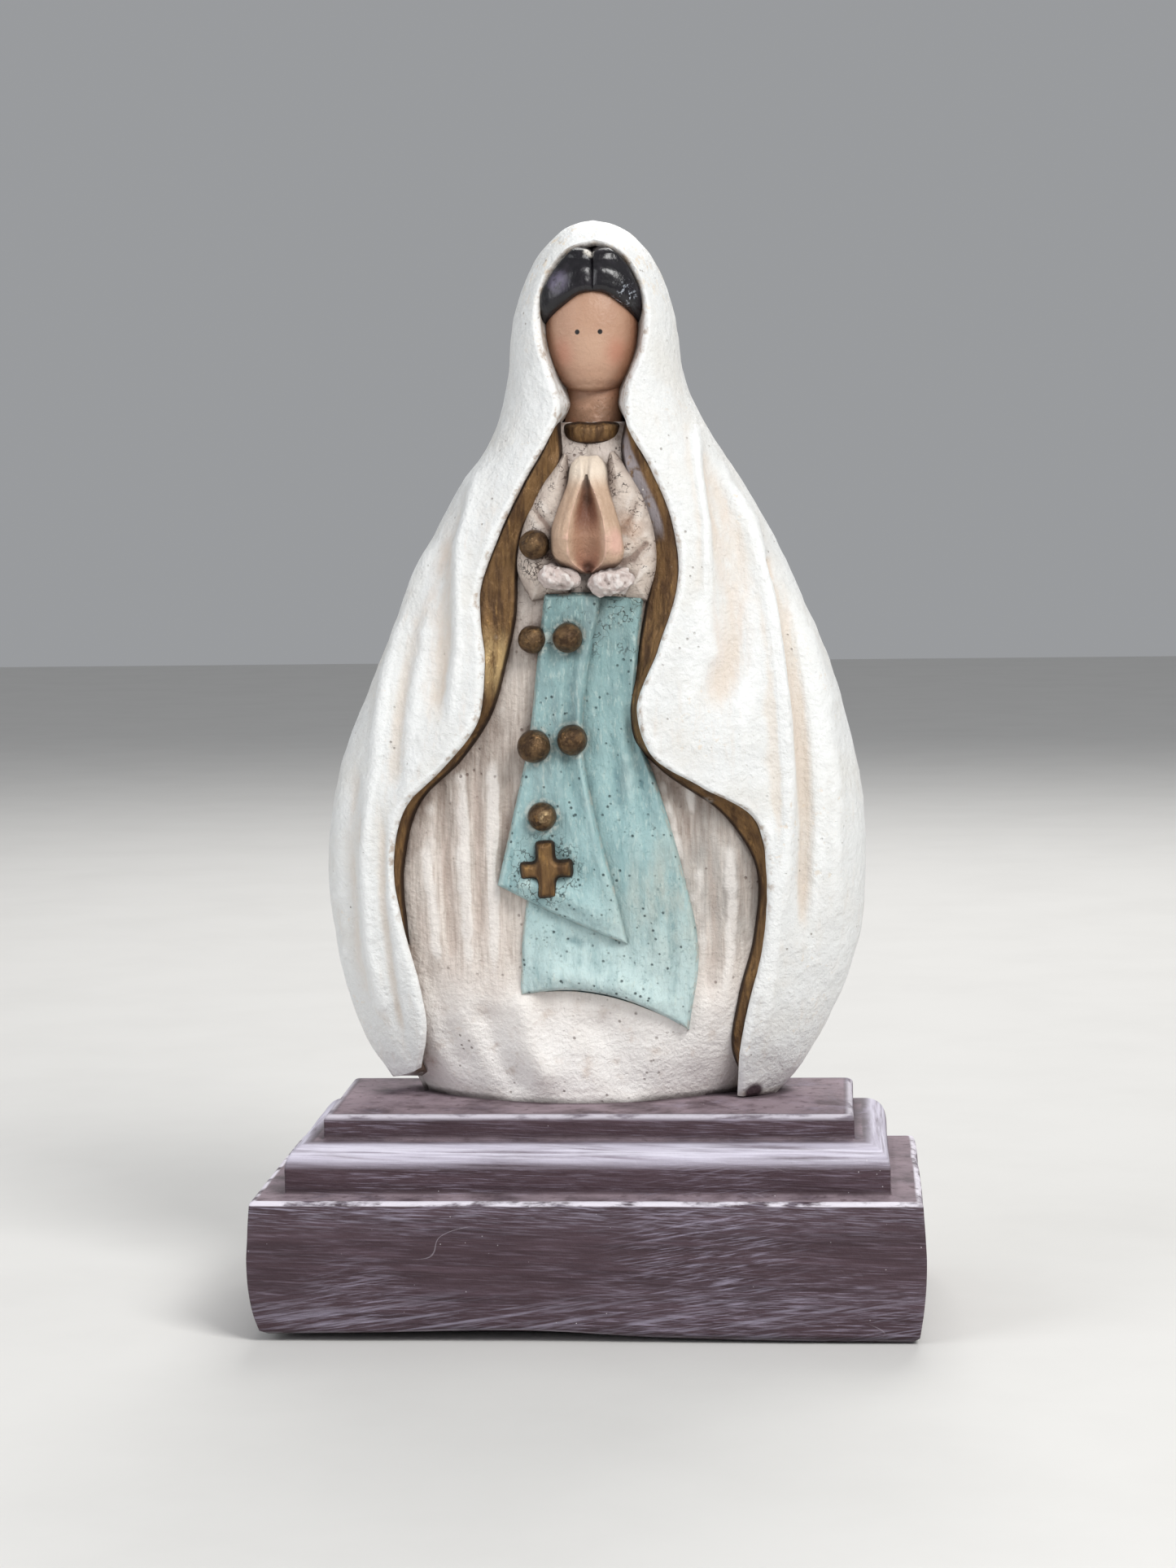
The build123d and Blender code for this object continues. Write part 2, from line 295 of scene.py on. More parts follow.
def plinth_profile():
    """Inset from the block's face, height, and the masks of the worn arrises, the dust, and the dry-brushed paint that
    also carries a painted highlight on the quarter-round.
    """
    rows = [(6.0, 0.0, 0, 0, 0), (1.6, 0.0, 0, 0, 0), (1.25, 0.25, 0.5, 0, 0)]
    for z in np.linspace(0.6, block_top - 0.55, 34):
        bulge = 0.9 * (1 - z / 9) ** 2 if z < 9 else 0.35 * ((z - 9) / 7) ** 2
        rows.append((bulge, z, 0.0, 0.0, 0.0))
    for a in np.linspace(0, 90, 6)[1:]:
        turn = math.radians(a)
        rows.append((0.35 + 0.5 * (1 - math.cos(turn)), block_top - 0.5 + 0.5 * math.sin(turn), 1.0, 0.0, 0.0))
    for inset in np.linspace(1.2, moulding_foot_inset - 0.25, 7):
        rows.append((inset, block_top + 0.02 * inset, 0.15, 1.0, 0.0))
    for z in np.linspace(block_top + 0.3, moulding_flat_top, 10):
        rows.append((moulding_foot_inset, z, 0.0, max(0.0, 1 - (z - block_top) / 0.9) * 0.6, 0.0))
    for a in np.linspace(0, 90, 13)[1:]:
        turn = math.radians(a)
        inset = moulding_foot_inset + quarter_round * (1 - math.cos(turn))
        # The dry-brushed paint peaks part way round the quarter-round, where it also stands in for a painted highlight.
        rub_and_highlight = math.exp(-((a - 48) / 34) ** 2)
        rows.append((inset, moulding_flat_top + quarter_round * math.sin(turn), 0.25 * rub_and_highlight, 0.0, rub_and_highlight))
    ledge = moulding_flat_top + quarter_round
    for inset in np.linspace(moulding_foot_inset + quarter_round + 0.3, slab_inset - 0.1, 4):
        rows.append((inset, ledge + 0.02, 0.0, 0.8, 0.2))
    for z in np.linspace(ledge + 0.25, slab_top - slab_round, 9):
        rows.append((slab_inset, z, 0.0, max(0.0, 1 - (z - ledge) / 0.8) * 0.7, 0.0))
    for a in np.linspace(0, 90, 8)[1:]:
        turn = math.radians(a)
        inset = slab_inset + slab_round * (1 - math.cos(turn))
        height = slab_top - slab_round * (1 - math.sin(turn))
        rows.append((inset, height, 0.6 * math.sin(1.6 * turn), 0.0, 0.3))
    for inset in np.linspace(slab_inset + slab_round + 0.5, plinth_half[1] - 0.4, 22):
        rows.append((inset, slab_top, 0.0, 0.85, 0.0))
    return np.array(rows)


def plinth_outline(inset, corner=0.35, along=120, across=66, turn_steps=5):
    """Points round a rectangle with eased corners, the given inset from the block's faces."""
    half = plinth_half - inset
    corner = min(corner, half[1] * 0.9)
    points = []
    quarter = np.linspace(0, math.pi / 2, turn_steps)
    signs = [(1, -1), (1, 1), (-1, 1), (-1, -1)]
    for k, (sx, sy) in enumerate(signs):
        start = k * math.pi / 2 - math.pi / 2
        for a in quarter:
            points.append((sx * (half[0] - corner) + corner * math.cos(start + a),
                           sy * (half[1] - corner) + corner * math.sin(start + a)))
        nx, ny = signs[(k + 1) % 4]
        steps = across if k % 2 == 0 else along
        begin = np.array(points[-1])
        first = math.pi / 2 * (k + 1) - math.pi / 2
        end = np.array([nx * (half[0] - corner) + corner * math.cos(first),
                        ny * (half[1] - corner) + corner * math.sin(first)])
        for t in np.linspace(0, 1, steps + 1)[1:-1]:
            points.append(tuple(begin + (end - begin) * t))
    return np.array(points)


profile = plinth_profile()
rings = [plinth_outline(row[0]) for row in profile]
ring_size = len(rings[0])
heights = np.repeat(profile[:, 1], ring_size)
plinth_points = np.column_stack([np.vstack(rings), heights])
underside_wave = [(-39, 0.75), (-26, 0.9), (-7, 1.25), (7, 0.55), (22, 0.12), (39, 0.0)]
front_wave = curve_through(plinth_points[:, 0], underside_wave)[:, 0]
near_front = np.clip((2 - plinth_points[:, 1]) / 18, 0, 1)
near_foot = np.clip(1 - heights / 7, 0, 1) ** 2
at_rim = np.repeat(np.clip((5.0 - profile[:, 0]) / 3, 0, 1), ring_size)
plinth_points[:, 2] += front_wave * near_front * near_foot * at_rim
left_taper = np.clip(1 - heights / 8, 0, 1) ** 2 * np.clip(-plinth_points[:, 0] - 34, 0, 5) / 5
plinth_points[:, 0] += 0.55 * left_taper
roughness_lift = 0.09 * lumps(plinth_points, 7.0, 3) + 0.05 * lumps(plinth_points, 2.2, 5)
outward = plinth_points[:, :2] / plinth_half
outward = outward * (np.abs(outward) >= np.max(np.abs(outward), axis=1, keepdims=True))
upright_faces = (heights > 0.3) & (heights < slab_top - 0.05)
plinth_points[:, :2] += outward * (roughness_lift * upright_faces)[:, None]
plinth_masks = {
    "arris": np.repeat(profile[:, 2], ring_size),
    "dust": np.repeat(profile[:, 3], ring_size),
    "rubbed_paint_and_highlight": np.repeat(profile[:, 4], ring_size),
}
last_ring = (len(rings) - 1) * ring_size
plinth_caps = [range(ring_size), range(last_ring, last_ring + ring_size)]
plinth = make_piece("plinth_painted", plinth_points, grid_faces(len(rings), ring_size, True), plinth_masks,
                    plinth_caps)

plum = Finish("plum_dry_brushed", tint(70, 51, 58), 0.60)
brushed, long_brushed = (0.045, 0.045, 1), (0.018, 0.018, 1)
level_stroke, falling, rising = (0, 0.01, 0), (0, 0.05, 0), (0, -0.16, 0)
plum.coat(tint(50, 33, 40), plum.noise(2.4, 0.40, 0.66, (0.10, 0.10, 1), falling), 0.7)
plum.coat(tint(94, 74, 84), plum.noise(0.62, 0.44, 0.76, brushed, level_stroke), 0.5)
plum.coat(tint(126, 112, 126), plum.noise(0.24, 0.50, 0.72, brushed, falling, 6, 3.1), 0.45, 0.7)
plum.coat(tint(158, 148, 166), plum.both(plum.noise(0.18, 0.50, 0.68, brushed, level_stroke, 6, 1.7),
                                         plum.noise(9, 0.40, 0.62, (0.3, 0.3, 1))), 0.6, 0.75)
plum.coat(tint(170, 162, 182), plum.both(plum.noise(0.20, 0.50, 0.68, (0.05, 0.05, 1), rising, 6, 5.7),
                                         plum.either(plum.spot((14, -21, 11), 2, 15),
                                                     plum.spot((-27, -21, 4), 1, 8))), 0.6, 0.8)
plum.coat(tint(186, 180, 200), plum.both(plum.off(plum.level(2.0, 7.5)),
                                         plum.noise(0.4, 0.46, 0.66, brushed, rising, 5, 2.3)), 0.4)
plum.coat(tint(186, 180, 200), plum.both(plum.level(11.5, 15.8), plum.off(plum.level(16.2, 16.5)),
                                         plum.noise(0.2, 0.46, 0.66, brushed, falling, 5, 4.3)), 0.4)
# Dry-brushed paint on the quarter-round, which also serves as a painted highlight on its rounded top.
plum.coat(tint(204, 198, 214), plum.both(plum.mask("rubbed_paint_and_highlight", 0, 0.8),
                                         plum.noise(0.8, 0.20, 0.58, brushed, level_stroke)), 0.9)
plum.coat(tint(228, 224, 238), plum.both(plum.mask("rubbed_paint_and_highlight", 0.3, 1),
                                         plum.noise(0.3, 0.42, 0.64, long_brushed, level_stroke)), 0.8)
plum.coat(tint(84, 62, 72), plum.both(plum.mask("rubbed_paint_and_highlight"),
                                      plum.noise(0.5, 0.52, 0.68, long_brushed, falling, shift=2)), 0.6)
plum.coat(tint(168, 150, 158), plum.both(plum.mask("dust"), plum.noise(2.4, 0.26, 0.64, (0.4, 0.4, 1))), 0.75, 0.9)
plum.coat(tint(70, 48, 54), plum.both(plum.mask("dust"), plum.noise(1.6, 0.54, 0.70, shift=2.2)), 0.6)
plum.coat(tint(232, 226, 236), plum.both(plum.mask("arris", 0.1, 0.9), plum.noise(1.1, 0.34, 0.54, (0.25, 0.25, 1))),
          0.95, 0.7)
plum.coat(tint(232, 226, 232), plum.both(plum.pits(1.5, 0.060, 0.035), plum.noise(6, 0.45, 0.62)), 0.7)
# Painted shade, with some wash, in the corners of the mouldings and round the foot of the figure.
plum.coat(tint(40, 26, 30), plum.crevice_wash_and_shade(1.6, 0.45, 0.9), 0.6)
plum.coat(tint(216, 208, 218), plum.both(plum.scratches(11, 0.0025, (0.3, 0.3, 1)), plum.noise(12, 0.58, 0.7)), 0.3)
plum.raise_by(plum.noise(0.30, 0.40, 0.75, long_brushed, falling, 6, 3.1), 0.04)
plum.raise_by(plum.noise(0.9, 0.3, 0.8), 0.05)
plinth.data.materials.append(plum.done())
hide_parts("plinth")
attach(plinth, "root")

# ---------------------------------------------------------------- gown
# The body of the figure: a cast bodice and long skirt in one piece with shallow
# vertical flutes, painted cream and washed with brown that stays in the hollows, with painted shade beside and under
# the cloak and at its foot.

figure_y = 4.0
# Body form: height, left, right, front, back.
gown_rows = [
    (slab_top, -21.0, 18.6, -4.6, 11.2),
    (32.0, -24.0, 21.6, -6.0, 12.6),
    (42.0, -26.4, 24.6, -7.0, 13.6),
    (53.0, -27.6, 25.6, -7.4, 14.2),
    (61.0, -26.0, 24.0, -7.1, 14.0),
    (68.0, -22.5, 19.5, -6.8, 13.5),
    (76.0, -18.5, 16.5, -6.6, 13.0),
    (84.0, -16.5, 16.2, -6.4, 12.4),
    (91.0, -14.6, 15.2, -6.0, 11.8),
    (98.0, -11.0, 12.8, -5.0, 11.0),
    (102.5, -7.8, 9.8, -3.6, 9.8),
    (105.4, -4.6, 6.4, -2.2, 7.6),
]
gown_roundness = 2.5


def form_depth(x, z, rows, roundness, back=False):
    """Depth of a rounded body's front or back at a place seen from the front."""
    left, right, front, rear = curve_through(z, rows).T
    middle, half = (left + right) / 2, (right - left) / 2
    across = np.clip(np.abs((x - middle) / half), 0, 1)
    reach = (1 - across ** roundness) ** (1 / roundness)
    return figure_y + (rear - figure_y) * reach if back else figure_y - (figure_y - front) * reach


def nearest(points, line):
    """Distance from each point to a line of straight runs in the front view, and the share of the line passed there."""
    points, line = np.asarray(points, float), np.asarray(line, float)
    lengths = np.linalg.norm(np.diff(line, axis=0), axis=1)
    passed = np.concatenate([[0], np.cumsum(lengths)])
    best, share = np.full(len(points), 1e9), np.zeros(len(points))
    for k, (start, end) in enumerate(zip(line[:-1], line[1:])):
        run = end - start
        t = np.clip(((points - start) @ run) / max(run @ run, 1e-12), 0, 1)
        distance = np.linalg.norm(points - start - t[:, None] * run, axis=1)
        closer = distance < best
        best[closer] = distance[closer]
        share[closer] = (passed[k] + t[closer] * lengths[k]) / passed[-1]
    return best, share


def folds(points, creases):
    """Depth added by modelled folds: each is its line, half width and depth (negative stands proud).
    A fold dies away towards both ends."""
    total = np.zeros(len(points))
    for line, width, depth in creases:
        distance, share = nearest(points, line)
        dying = np.clip(np.minimum(share, 1 - share) / 0.22, 0, 1)
        total += depth * np.exp(-(distance / width) ** 2) * dying * dying * (3 - 2 * dying)
    return total


gown_folds = [
    ([(-17.6, 66), (-16.8, 55), (-15.9, 40)], 0.9, 0.55),
    ([(-14.8, 67), (-14.4, 56), (-14.0, 38)], 0.8, -0.22),
    ([(-13.2, 68), (-12.9, 58), (-12.6, 44)], 0.8, 0.32),
    ([(-11.0, 70), (-11.0, 55), (-11.2, 36)], 1.0, -0.32),
    ([(-19.6, 58), (-18.6, 48), (-17.6, 36)], 0.9, -0.35),
    ([(-9.0, 66), (-9.6, 58), (-10.6, 50)], 0.8, 0.3),
    ([(-19.0, 44), (-17.0, 33), (-14.0, 27)], 1.6, 0.8),
    ([(-8.6, 40), (-7.0, 32), (-4.0, 26)], 1.8, -1.0),
    ([(-13.0, 38), (-11.0, 31), (-8.0, 25)], 1.5, 0.8),
    ([(0.0, 37), (3.0, 31), (5.0, 25)], 2.4, 0.7),
    ([(12.6, 62), (14.4, 53), (14.9, 44), (14.0, 36)], 0.9, 0.45),
    ([(16.4, 58), (17.0, 50), (16.6, 42), (15.0, 33)], 1.0, -0.4),
    ([(14.0, 40), (13.2, 34), (12.0, 28)], 1.2, -0.35),
    ([(9.6, 65), (11.4, 59), (12.8, 52)], 0.9, 0.5),
]
hem_setback = [(-22, 3.6), (-17, 2.6), (-9, 0.2), (-2, -0.7), (4, -0.2), (7, 0.8), (13, 3.0), (18, 3.8)]


def gown_depth(x, z):
    """Front of the gown, with its flutes and the lumps of its hem."""
    spot = np.column_stack([x, z])
    depth = form_depth(x, z, gown_rows, gown_roundness)
    depth = depth + folds(spot, gown_folds)
    depth = depth + curve_through(x, hem_setback)[:, 0] * np.clip((37 - z) / 12, 0, 1) ** 1.5
    flat = np.column_stack([x, np.zeros(len(x)), z])
    return depth + 0.14 * lumps(flat, 3.1, 11) + 0.07 * lumps(flat, 1.3, 12)


gown_rows_up = np.concatenate([np.linspace(slab_top, 104.6, 210), [104.9, 105.15, 105.3, 105.4]])
front_angles = np.linspace(-math.pi * 0.97, -math.pi * 0.03, 150)
back_angles = np.linspace(0.02, math.pi - 0.02, 30)
gown_angles = np.concatenate([front_angles, back_angles])
gown_z, gown_turn = np.meshgrid(gown_rows_up, gown_angles, indexing="ij")
gown_z, gown_turn = gown_z.ravel(), gown_turn.ravel()
left, right, front, rear = curve_through(gown_z, gown_rows).T
shrink = 1 - 0.22 * np.clip((gown_z - 104.5) / 0.9, 0, 1) ** 2
power = 2 / gown_roundness
cosine, sine = np.cos(gown_turn), np.sin(gown_turn)
gown_x = (left + right) / 2 + (right - left) / 2 * shrink * np.sign(cosine) * np.abs(cosine) ** power
gown_y = figure_y + (rear - figure_y) * np.abs(sine) ** power
in_front = sine < 0
gown_y[in_front] = gown_depth(gown_x[in_front], gown_z[in_front])
side_blend = np.clip(np.abs(sine[in_front]) / 0.25, 0, 1)
plain = form_depth(gown_x[in_front], gown_z[in_front], gown_rows, gown_roundness)
gown_y[in_front] = plain + (gown_y[in_front] - plain) * side_blend
gown_points = np.column_stack([gown_x, gown_y, gown_z])
gown_columns = len(gown_angles)
gown_top = (len(gown_rows_up) - 1) * gown_columns
gown_caps = [range(gown_columns), range(gown_top, gown_top + gown_columns)]
gown = make_piece("gown_painted", gown_points, grid_faces(len(gown_rows_up), gown_columns, True), None, gown_caps)

cream = Finish("gown_cream_washed_and_shaded", tint(232, 222, 213), 0.56)
down_grain = (1, 1, 0.10)
cream.coat(tint(212, 196, 186), cream.noise(2.2, 0.38, 0.70, (1, 1, 0.25)), 0.6)
cream.coat(tint(168, 150, 138), cream.both(cream.noise(0.34, 0.42, 0.70, (1, 1, 0.06)), cream.level(30, 48)), 0.6)
cream.coat(tint(178, 158, 146), cream.mask("hollow", 0.01, 0.18), 0.5)
cream.coat(tint(146, 136, 126), cream.both(cream.level(40, 58), cream.noise(0.8, 0.30, 0.72, down_grain)), 0.45)
cream.coat(tint(146, 156, 158), cream.both(cream.spot((16, -6, 52), 3, 14),
                                           cream.noise(1.4, 0.20, 0.72, (1, 1, 0.2))), 0.5)
# Painted shade: dark patches on the gown beside the cloak's edges.
for middle, reach in (((-17.5, -6.0, 62.0), 9), ((-12.0, -7.0, 68.0), 7), ((12.5, -6.5, 60.0), 10),
                      ((17.5, -6.0, 50.0), 7)):
    shade = cream.both(cream.spot(middle, 1, reach), cream.noise(1.3, 0.18, 0.80, (1, 1, 0.14)))
    cream.coat(tint(122, 105, 95), shade, 0.66)
# Painted shade, with the wash, in two coats where the cloak's wide middle overhangs the gown.
cream.coat(tint(110, 86, 72), cream.both(cream.crevice_wash_and_shade(6.0, 0.25, 0.95), cream.level(40, 62)), 0.85)
cream.coat(tint(96, 74, 62), cream.both(cream.crevice_wash_and_shade(3.0, 0.35, 0.95), cream.level(44, 60),
                                        cream.noise(1.2, 0.4, 0.6)), 0.6)
cream.coat(tint(196, 184, 176), cream.both(cream.level(82, 86), cream.noise(2.0, 0.3, 0.6)), 0.75)
cream.coat(tint(60, 46, 42), cream.both(cream.scratches(1.3, 0.02), cream.noise(3.0, 0.48, 0.60),
                                        cream.level(82, 86)), 0.85)
cream.coat(tint(252, 249, 246), cream.both(cream.off(cream.level(31, 44)), cream.noise(2.2, 0.20, 0.48)), 0.9)
# Painted highlight on the raised ridges of the flutes.
cream.coat(tint(246, 241, 236), cream.mask("hollow", -0.03, -0.14), 0.6)
cream.coat(tint(96, 70, 60), cream.both(cream.pits(1.2, 0.20, 0.09), cream.noise(5, 0.5, 0.62)), 0.65)
# Painted shade where the foot of the gown meets the slab.
cream.coat(tint(60, 36, 36), cream.both(cream.crevice_wash_and_shade(1.2, 0.4, 0.9), cream.off(cream.level(25.5, 26.3))), 0.8)
cream.raise_by(cream.noise(0.7, 0.3, 0.75), 0.10)
cream.raise_by(cream.both(cream.pits(1.2, 0.20, 0.09), cream.noise(5, 0.5, 0.62)), -0.12)
gown.data.materials.append(cream.done())
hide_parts("gown")
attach(gown, "root")

# ---------------------------------------------------------------- mantle
# The white cloak with its hood, cast round the body and open at the front.
# Its front edges roll over into the gilded lining; its left tip hangs just clear of the slab.

# Outer form: height, left, right, front, back.
mantle_rows = [
    (slab_top, -23.3, 22.0, -4.9, 12.6),
    (29.0, -26.3, 25.1, -6.4, 14.4),
    (36.0, -29.4, 29.1, -8.2, 16.2),
    (45.0, -31.4, 31.9, -9.6, 17.6),
    (53.0, -32.1, 32.6, -10.2, 18.2),
    (62.0, -31.0, 32.0, -10.2, 18.1),
    (72.0, -27.6, 29.9, -9.9, 17.6),
    (82.0, -23.2, 26.4, -9.4, 16.8),
    (91.0, -19.3, 22.2, -8.7, 15.8),
    (98.0, -15.5, 18.4, -7.8, 14.9),
    (104.0, -11.4, 14.6, -6.9, 14.2),
    (109.0, -9.7, 12.1, -6.0, 13.8),
    (116.0, -8.9, 10.8, -5.6, 13.5),
    (121.0, -8.25, 10.2, -5.4, 13.1),
    (125.0, -7.9, 9.9, -5.2, 12.8),
    (129.3, -7.6, 9.6, -5.0, 12.6),
]
mantle_roundness = 2.2
dome_start = 117.0
dome_height = 12.2
dome_middle = (0.9, 4.0)


def dome(z):
    """How far the hood has closed in towards its crown."""
    return np.sqrt(np.clip(1 - (np.clip(z - dome_start, 0, None) / dome_height) ** 2, 0, 1))


def mantle_form(z):
    """Left, right, front and back of the cloak at a height, with the hood's domed top."""
    left, right, front, rear = curve_through(z, mantle_rows).T
    closing = dome(z)
    middle_x, middle_y = dome_middle
    left = np.where(z > dome_start, middle_x + (left - middle_x) * closing, left)
    right = np.where(z > dome_start, middle_x + (right - middle_x) * closing, right)
    front = np.where(z > dome_start, middle_y + (front - middle_y) * closing, front)
    rear = np.where(z > dome_start, middle_y + (rear - middle_y) * closing, rear)
    return left, right, front, rear


def mantle_depth(x, z, back=False):
    """Smooth outer depth of the cloak, front or back, at a place seen from the front."""
    left, right, front, rear = mantle_form(z)
    middle, half = (left + right) / 2, np.maximum((right - left) / 2, 1e-6)
    across = np.clip(np.abs((x - middle) / half), 0, 1)
    reach = (1 - across ** mantle_roundness) ** (1 / mantle_roundness)
    return figure_y + (rear - figure_y) * reach if back else figure_y - (figure_y - front) * reach


# Each side from the foot to the crown: front edge x and z, height at the silhouette, height at the back.
mantle_left = [
    (-20.6, 28.8, 27.0, 25.1), (-19.6, 33.5, 32.0, 30.0), (-20.3, 39.5, 39.0, 38.0), (-22.2, 47.0, 47.0, 47.0),
    (-23.0, 54.0, 54.0, 54.0), (-21.5, 60.5, 60.5, 60.5), (-16.5, 65.5, 66.5, 66.0), (-12.6, 70.6, 72.0, 71.0),
    (-11.7, 77.0, 78.0, 77.0), (-12.2, 85.8, 86.0, 85.0), (-10.4, 91.2, 92.0, 90.5), (-7.2, 97.9, 98.0, 96.0),
    (-4.1, 103.3, 103.5, 101.0), (-2.6, 107.2, 107.5, 104.5), (-3.7, 111.0, 111.5, 108.0),
    (-4.9, 115.5, 116.0, 112.0), (-4.8, 119.8, 121.0, 115.0), (-3.3, 123.2, 125.4, 117.0),
    (-1.2, 125.2, 128.3, 118.3), (1.4, 125.9, 129.2, 119.0),
]
mantle_right = [
    (17.1, 25.3, 25.1, 25.1), (17.4, 30.0, 30.0, 30.0), (18.6, 36.5, 37.0, 38.0), (20.4, 44.0, 44.5, 47.0),
    (21.0, 52.5, 52.5, 54.0), (19.4, 59.1, 60.0, 60.5), (13.4, 62.9, 65.0, 66.0), (7.7, 66.7, 69.5, 71.0),
    (6.1, 71.6, 74.0, 77.0), (8.6, 79.0, 81.0, 85.0), (10.9, 87.0, 87.5, 90.5), (10.3, 93.4, 94.0, 96.0),
    (7.6, 100.3, 100.5, 101.0), (5.0, 105.2, 105.5, 104.5), (5.0, 109.0, 110.0, 108.0),
    (6.8, 114.6, 115.0, 112.0), (6.8, 119.6, 120.6, 115.0), (5.0, 123.7, 125.2, 117.0),
    (3.2, 125.3, 128.2, 118.3), (1.4, 125.9, 129.2, 119.0),
]
mantle_folds = [
    ([(-14.6, 101), (-17.4, 92), (-17.2, 81), (-18.4, 68)], 1.9, 1.05),
    ([(-10.4, 104), (-12.6, 99), (-14.8, 91), (-14.8, 79), (-16.4, 69)], 1.0, -0.65),
    ([(-12.6, 102), (-16.6, 95), (-20.6, 87.6), (-23.8, 76), (-25.6, 62)], 1.1, -0.75),
    ([(-19.4, 88), (-21.6, 78), (-22.8, 69), (-23.2, 60)], 1.3, 0.70),
    ([(-25.2, 66), (-26.6, 54), (-26.4, 44), (-24.4, 34)], 0.9, -0.55),
    ([(-27.4, 70), (-29.0, 56), (-28.4, 42), (-26.0, 31)], 1.1, 0.60),
    ([(-24.2, 62), (-24.8, 50), (-23.4, 37), (-22.2, 29)], 0.8, 0.55),
    ([(12.4, 106.6), (13.2, 101.4), (14.4, 93.6), (14.5, 84)], 0.55, -0.75),
    ([(11.6, 107.6), (15.4, 101.6), (19.2, 93.4), (21.5, 85), (22.8, 76), (23.6, 64), (22.8, 46)], 0.75, -1.15),
    ([(13.6, 104.4), (16.0, 98), (17.6, 89), (17.2, 78), (14.0, 69)], 2.3, 1.25),
    ([(20.6, 93.6), (23.6, 82.5), (25.2, 71), (25.9, 58), (25.0, 42)], 1.05, 1.25),
    ([(21.2, 89.6), (22.0, 86.6)], 0.6, 0.6),
    ([(25.0, 86), (27.8, 73), (29.2, 60), (28.6, 44)], 1.1, -0.40),
    ([(20.6, 64), (22.4, 53), (21.6, 42), (19.4, 30)], 1.1, -0.40),
]
back_folds = [
    ([(-4.6, 104), (-8.2, 88), (-12.4, 67), (-14.4, 48), (-12.4, 24)], 3.2, -0.75),
    ([(-2.2, 80), (-4.2, 64), (-5.6, 46), (-5.8, 30)], 2.0, -0.4),
    ([(3.0, 108), (4.8, 90), (7.2, 66), (7.0, 44), (5.4, 20)], 3.4, -0.85),
    ([(11.8, 86), (14.6, 72), (15.4, 54), (13.0, 30)], 2.0, -0.45),
    ([(12.6, 96), (19.6, 78), (23.6, 56), (20.8, 26)], 2.8, -0.6),
    ([(-14.0, 78), (-19.6, 64), (-21.8, 48), (-18.8, 30)], 1.9, -0.4),
]
lip_round = 0.75
edge_rows = 250
lip_steps = 6
front_steps = 54
side_steps = 46
inner_steps = 10


def chord_places(table):
    """Places of a side's stations along its front edge and silhouette, from 0 to 1."""
    table = np.array(table)
    runs = np.hypot(*np.diff(table[:, :2], axis=0).T) + np.abs(np.diff(table[:, 2])) * 0.5
    places = np.concatenate([[0], np.cumsum(runs)])
    return places / places[-1]


def mantle_side(table, side):
    """Points of one half of the cloak, row by row from the foot to the crown."""
    places = chord_places(table)
    t = np.linspace(0, 1, edge_rows)
    edge_x, edge_z, rim_z, spine_z = curve_through(t, np.column_stack([places, table])).T
    spine_z = curve_through(t, np.column_stack([chord_places(mantle_left), [row[3] for row in mantle_left]]))[:, 0]
    left, right = mantle_form(rim_z)[:2]
    rim_x = left if side < 0 else right
    spine_x = sum(mantle_form(spine_z)[:2]) / 2
    away = np.column_stack([rim_x - edge_x, rim_z - edge_z])
    away /= np.linalg.norm(away, axis=1, keepdims=True)
    columns = []
    start = np.column_stack([edge_x, edge_z]) + away * lip_round
    for k in range(side_steps, 0, -1):
        reach = math.cos(math.pi / 2 * k / side_steps)
        x = spine_x + (rim_x - spine_x) * reach
        z = spine_z + (rim_z - spine_z) * reach
        columns.append(np.column_stack([x, mantle_depth(x, z, True), z]))
    for k in range(front_steps, -1, -1):
        reach = math.sin(math.pi / 2 * k / front_steps)
        x = start[:, 0] + (rim_x - start[:, 0]) * reach
        z = start[:, 1] + (rim_z - start[:, 1]) * reach
        columns.append(np.column_stack([x, mantle_depth(x, z), z]))
    crest = columns[-1][:, 1]
    for k in range(1, lip_steps + 1):
        turn = math.pi / 2 * k / lip_steps
        spot = np.column_stack([edge_x, edge_z]) + away * lip_round * (1 - math.sin(turn))
        columns.append(np.column_stack([spot[:, 0], crest + lip_round * (1 - math.cos(turn)), spot[:, 1]]))
    hood = np.clip((edge_z - 103.0) / 3, 0, 1)
    floor = form_depth(edge_x, np.minimum(edge_z, 105.0), gown_rows, gown_roundness) + 1.0
    floor = np.maximum(floor * (1 - hood) + 1.5 * hood, crest + lip_round + 0.4)
    for share in (0.35, 0.7, 1.0):
        lean = 0.35 - 1.75 * np.clip((edge_z - 104.5) / 3, 0, 1) * np.clip((124.5 - edge_z) / 4, 0, 1)
        spot = np.column_stack([edge_x, edge_z]) + away * lean[:, None] * share
        depth = crest + lip_round + (floor - crest - lip_round) * share
        columns.append(np.column_stack([spot[:, 0], depth, spot[:, 1]]))
    inner = columns[-1]
    cavity = np.clip(0.80 - 0.12 * hood, 0, 1)
    wall_x = spine_x + (rim_x - spine_x) * cavity
    for k in range(1, inner_steps + 1):
        share = k / inner_steps
        x = inner[:, 0] + (wall_x - inner[:, 0]) * math.sin(min(share * 2, 1) * math.pi / 2)
        x = x + (spine_x - x) * max(share * 2 - 1, 0)
        z = inner[:, 2] + (spine_z - inner[:, 2]) * share
        y = inner[:, 1] + (mantle_depth(spine_x, spine_z, True) - 3.2 - inner[:, 1]) * share ** 1.3
        columns.append(np.column_stack([x, y, z]))
    return np.stack(columns, axis=1)


def grid_normals(points):
    """Unit normals of a grid of points, from its own rows and columns."""
    down = np.gradient(points, axis=0)
    along = np.gradient(points, axis=1)
    normal = np.cross(down, along)
    return normal / np.maximum(np.linalg.norm(normal, axis=2, keepdims=True), 1e-9)


